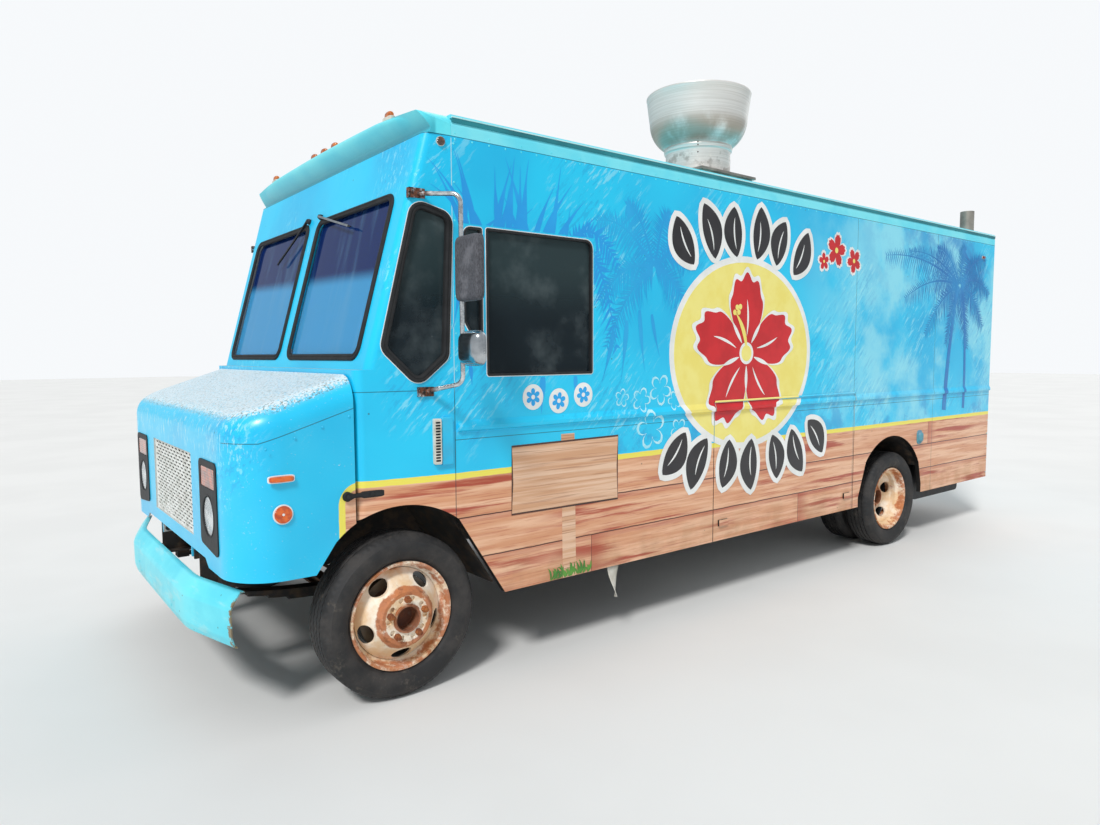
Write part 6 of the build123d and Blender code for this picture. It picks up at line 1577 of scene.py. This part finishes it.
def layEmblem(name, e, sign, body, scale=1.0):
    def lay(suffix, outlines, finish, proud, thick=0):
        layOnSide(name + suffix, outlines, finish, proud, sign=sign, body=body, thick=thick)

    x, z = e["x"], e["z"]
    leaves = leafRows(e, scale, (0.315, 0.345), 0.178, 0.08)
    disc = ovalOutline(x, z, e["a"] * scale, e["b"] * scale)
    lay("_disc_rim", [grownOutline(disc, e["rim"] * scale)], "printWhite", 0.0012, 0.0006)
    lay("_disc", [disc], "printYellow", 0.0016, 0.0006)
    lay("_leaf_rims", [grownOutline(outline, 0.036 * scale) for outline in leaves], "printWhite", 0.0020)
    lay("_leaves", leaves, "printBlack", 0.0025)
    lay("_leaf_veins", leafRows(e, scale, (0.20, 0.20), 0.014, 0.07, 0.05), "printWhite", 0.0029)
    lay("_blossom_rim", [petals(x, z, e["flower"] * scale, turn=0.314, grow=0.036 * scale)], "printWhite", 0.0030)
    lay("_blossom", [petals(x, z, e["flower"] * scale, turn=0.314)], "printRed", 0.0034)
    lines = []
    for start, reach, length, width, bend in ((0.314, 0.11, 0.24, 0.018, 0.05), (0.942, 0.08, 0.17, 0.028, 0.0)):
        for turn in start + np.arange(5) * 2 * math.pi / 5:
            lines.append(leaf(x + reach * scale * math.cos(turn), z + reach * scale * math.sin(turn), length * scale,
                              width * scale, turn, bend))
    lay("_petal_lines", lines + [ovalOutline(x, z, 0.072 * scale, 0.072 * scale, 40)], "printWhite", 0.0038)
    pistil = [ovalOutline(x, z, 0.052 * scale, 0.052 * scale, 36), leaf(x, z, 0.285 * scale, 0.034 * scale, 1.15, 0.10)]
    pistil += [ovalOutline(x + dx * scale, z + dz * scale, 0.018 * scale, 0.018 * scale, 20)
               for dx, dz in ((0.085, 0.265), (0.125, 0.262), (0.102, 0.295), (0.070, 0.300))]
    lay("_pistil", pistil, "printYellow", 0.0042)


layEmblem("emblem", emblem, 1, "truck")
layEmblem("kerb_emblem", dict(emblem, x=at(-3.25), z=1.785), -1, "serving_hatch", 0.62)

# three small red blossoms beside it, and three white dots with blue petals under the window
small = [(-3.52, 2.36, 0.115, 0.5), (-3.76, 2.30, 0.090, 1.1), (-3.36, 2.27, 0.062, 0.2)]
layOnSide("small_blossom_rims", [petals(at(a), z, size, turn=turn, points=110, grow=0.020)
                                 for a, z, size, turn in small], "printWhite", 0.0014, thick=0)
layOnSide("small_blossoms", [petals(at(a), z, size, turn=turn, points=110) for a, z, size, turn in small],
          "printRed", 0.0018, thick=0)
layOnSide("small_blossom_hearts", [ovalOutline(at(a), z, size * 0.18, size * 0.18, 24) for a, z, size, turn in small],
          "printYellow", 0.0022, thick=0)
tiles = [(-0.735, 1.392), (-0.905, 1.366), (-1.075, 1.392)]
layOnSide("white_dots", [ovalOutline(at(a), z, 0.066, 0.066, 60) for a, z in tiles], "printWhite", 0.0014, thick=0)
layOnSide("dot_petals", [petals(at(a), z, 0.046, 6, a * 5, 0.0, 90) for a, z in tiles], "printPalm", 0.0018, thick=0)
layOnSide("dot_hearts", [ovalOutline(at(a), z, 0.012, 0.012, 24) for a, z in tiles], "printWhite", 0.0022, thick=0)

# a blank board on a post, standing in grass
board = {"outline": [(-0.596, 0.803), (-1.330, 0.797), (-1.322, 0.985), (-1.333, 1.146), (-0.600, 1.141),
                     (-0.606, 0.96)],
         "post": [(-0.928, 0.405), (-1.022, 0.405), (-1.012, 1.188), (-0.920, 1.188)]}
layOnSide("print_board_post", [placed(board["post"])], "boardWood", 0.0012)
layOnSide("print_board_edge", [grownOutline(placed(board["outline"]), 0.010)], "boardEdge", 0.0016)
layOnSide("print_board", [placed(board["outline"])], "boardWood", 0.0020)
random = np.random.default_rng(7)
grass = [leaf(at(a), 0.408, length, 0.012, math.pi / 2 + tilt, 0.15)
          for a, length, tilt in zip(random.uniform(-1.11, -0.84, 46), random.uniform(0.035, 0.085, 46),
                                     random.uniform(-0.7, 0.7, 46))]
layOnSide("print_grass", grass, "printGrass", 0.0026, thick=0)
outlineFlowers = []
for a, z, size in ((-1.365, 1.362, 0.055), (-1.52, 1.345, 0.075), (-1.676, 1.40, 0.095), (-1.80, 1.33, 0.06),
                   (-1.60, 1.17, 0.12), (-1.84, 1.15, 0.075), (-2.00, 1.40, 0.07)):
    outer = petals(at(a), z, size, turn=a * 7, wobble=0.02, points=60)
    inner = petals(at(a), z, size * 0.84, turn=a * 7, wobble=0.02, points=60)
    for i in range(0, 60, 2):
        outlineFlowers.append(np.stack([outer[i], outer[(i + 1) % 60], outer[(i + 2) % 60], inner[(i + 2) % 60],
                                        inner[(i + 1) % 60], inner[i]]))
layOnSide("print_blossom_outlines", outlineFlowers, "printPale", 0.0005, thick=0)
print("stickers laid")


# Seat cushions: rounded blocks swollen by the cloth solver, then sewn channels pressed in

pads = {"voxel": 0.006, "pressure": 4.0, "frames": 20, "cap": 0.024, "channelDepth": 0.006, "channelWidth": 0.0065}
cushionBox = {"seat": ((at(-0.640) + 0.015, 0.560, 1.255), (0.225, 0.232, 0.044)),
              "back": ((at(-0.640) - 0.172, 0.560, 1.633), (0.044, 0.222, 0.306))}


def paddedPiece(name, centre, half, thin, channels, p):
    # superellipsoid shell: centre + half * (sign cos^0.3 ..., sin^0.3), swollen, then grooves exp(-(d/w)^2) pressed in
    u = np.linspace(-0.5 * np.pi, 0.5 * np.pi, 33)[1:-1]
    v = np.linspace(-np.pi, np.pi, 64, endpoint=False)
    soft = lambda value: np.sign(value) * np.abs(value) ** 0.30
    cu, su, cv, sv = soft(np.cos(u))[:, None], soft(np.sin(u))[:, None], soft(np.cos(v))[None], soft(np.sin(v))[None]
    axes = [cu * cv, cu * sv, su + 0 * cv]
    order = {2: (0, 1, 2), 0: (2, 1, 0)}[thin]
    points = np.stack([axes[order.index(i)] for i in range(3)], -1) * np.asarray(half) + np.asarray(centre)
    piece = makePiece(name, points.reshape(-1, 3), tubeFaces(len(u), len(v)), "vinylSeat", "seat_vinyl", "truck")
    bpy.context.view_layer.objects.active = piece
    bpy.ops.object.select_all(action="DESELECT")
    piece.select_set(True)
    remesh = piece.modifiers.new("even", "REMESH")
    remesh.mode = "VOXEL"
    remesh.voxel_size = p["voxel"]
    bpy.ops.object.modifier_apply(modifier="even")
    start = verticesOf(piece.data)
    cloth = piece.modifiers.new("swell", "CLOTH")
    cloth.settings.use_pressure = True
    cloth.settings.uniform_pressure_force = p["pressure"]
    cloth.settings.effector_weights.gravity = 0.0
    cloth.settings.quality = 4
    cloth.point_cache.frame_start = 1
    cloth.point_cache.frame_end = p["frames"]
    for frameNumber in range(1, p["frames"] + 1):
        scene.frame_set(frameNumber)
    bpy.ops.object.modifier_apply(modifier="swell")
    scene.frame_set(1)
    move = verticesOf(piece.data) - start
    length = np.linalg.norm(move, axis=1, keepdims=True)
    move *= np.minimum(1.0, p["cap"] / np.maximum(length, 1e-9)) * 0.55
    moveVertices(piece.data, start + move)
    place = verticesOf(piece.data).astype(float)
    normal = np.empty(place.size, np.float32)
    piece.data.vertex_normals.foreach_get("vector", normal)
    normal = normal.reshape(-1, 3)
    axis, offsets = channels
    away = np.abs(place[:, axis, None] - np.asarray(offsets)[None]).min(1)
    facing = np.clip(np.abs(normal[:, thin]) * 1.6 - 0.4, 0, 1)
    place -= normal * (facing * p["channelDepth"] * np.exp(-(away / p["channelWidth"]) ** 2))[:, None]
    moveVertices(piece.data, place)
    piece.data.update()
    piece.data.polygons.foreach_set("use_smooth", np.full(len(piece.data.polygons), True))
    finer = piece.modifiers.new("finer", "SUBSURF")
    finer.levels = finer.render_levels = 1
    return piece


seatPad = paddedPiece("driver_seat_pad", *cushionBox["seat"], 2, (1, [0.450, 0.560, 0.670]), pads)
backPad = paddedPiece("driver_seat_back_pad", *cushionBox["back"], 0, (2, [1.45, 1.58, 1.71, 1.84]), pads)
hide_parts("seat_cushions")
print("seat cushions swollen")


# Floor and light

studio = {"floor": "e3e2df", "worldStrength": 0.52, "sun": 2.35, "fill": 0.80}


def setStage(s):
    # a pale floor, a white world for the camera, one broad key light and a soft fill
    size = 60
    steps = np.linspace(-size, size, 3)
    gx, gy = np.meshgrid(steps, steps, indexing="ij")
    floorMesh = bpy.data.meshes.new("floor_sheet")
    floorMesh.from_pydata(np.stack([gx, gy, np.full_like(gx, -0.001)], -1).reshape(-1, 3).tolist(), [],
                          gridFaces(3, 3).tolist())
    f = Finish("studio_floor")
    tone = f.mix(f.patches(0.35, 0.65, 0.6, detail=3), s["floor"], "dfdedb")
    f.finish(tone, f.scaled(f.noise(3.0), 0.1, 0.75))
    floorMesh.materials.append(f.material)
    floorSheet = addObject("floor_sheet", floorMesh)
    world = bpy.data.worlds.new("studio")
    scene.world = world
    world.use_nodes = True
    tree = world.node_tree
    light = tree.nodes["Background"]
    light.inputs["Color"].default_value = (0.90, 0.95, 1.0, 1.0)
    light.inputs["Strength"].default_value = s["worldStrength"]
    white = tree.nodes.new("ShaderNodeBackground")
    white.inputs["Color"].default_value = (0.93, 0.95, 0.97, 1.0)
    white.inputs["Strength"].default_value = 1.0
    path = tree.nodes.new("ShaderNodeLightPath")
    seen = tree.nodes.new("ShaderNodeMath")
    seen.operation = "MAXIMUM"
    seen.use_clamp = True
    tree.links.new(path.outputs["Is Camera Ray"], seen.inputs[0])
    tree.links.new(path.outputs["Is Transmission Ray"], seen.inputs[1])
    both = tree.nodes.new("ShaderNodeMixShader")
    tree.links.new(seen.outputs[0], both.inputs[0])
    tree.links.new(light.outputs[0], both.inputs[1])
    tree.links.new(white.outputs[0], both.inputs[2])
    tree.links.new(both.outputs[0], tree.nodes["World Output"].inputs["Surface"])
    for name, energy, turn, angle in (("key", s["sun"], (math.radians(42), math.radians(12), math.radians(108)), 12),
                                      ("fill", s["fill"], (math.radians(55), 0, math.radians(-70)), 60)):
        lamp = bpy.data.lights.new(name, "SUN")
        lamp.energy = energy
        lamp.angle = math.radians(angle)
        addObject(name, lamp).rotation_euler = turn


setStage(studio)
scene.view_settings.view_transform = "Standard"

bpy.context.view_layer.update()
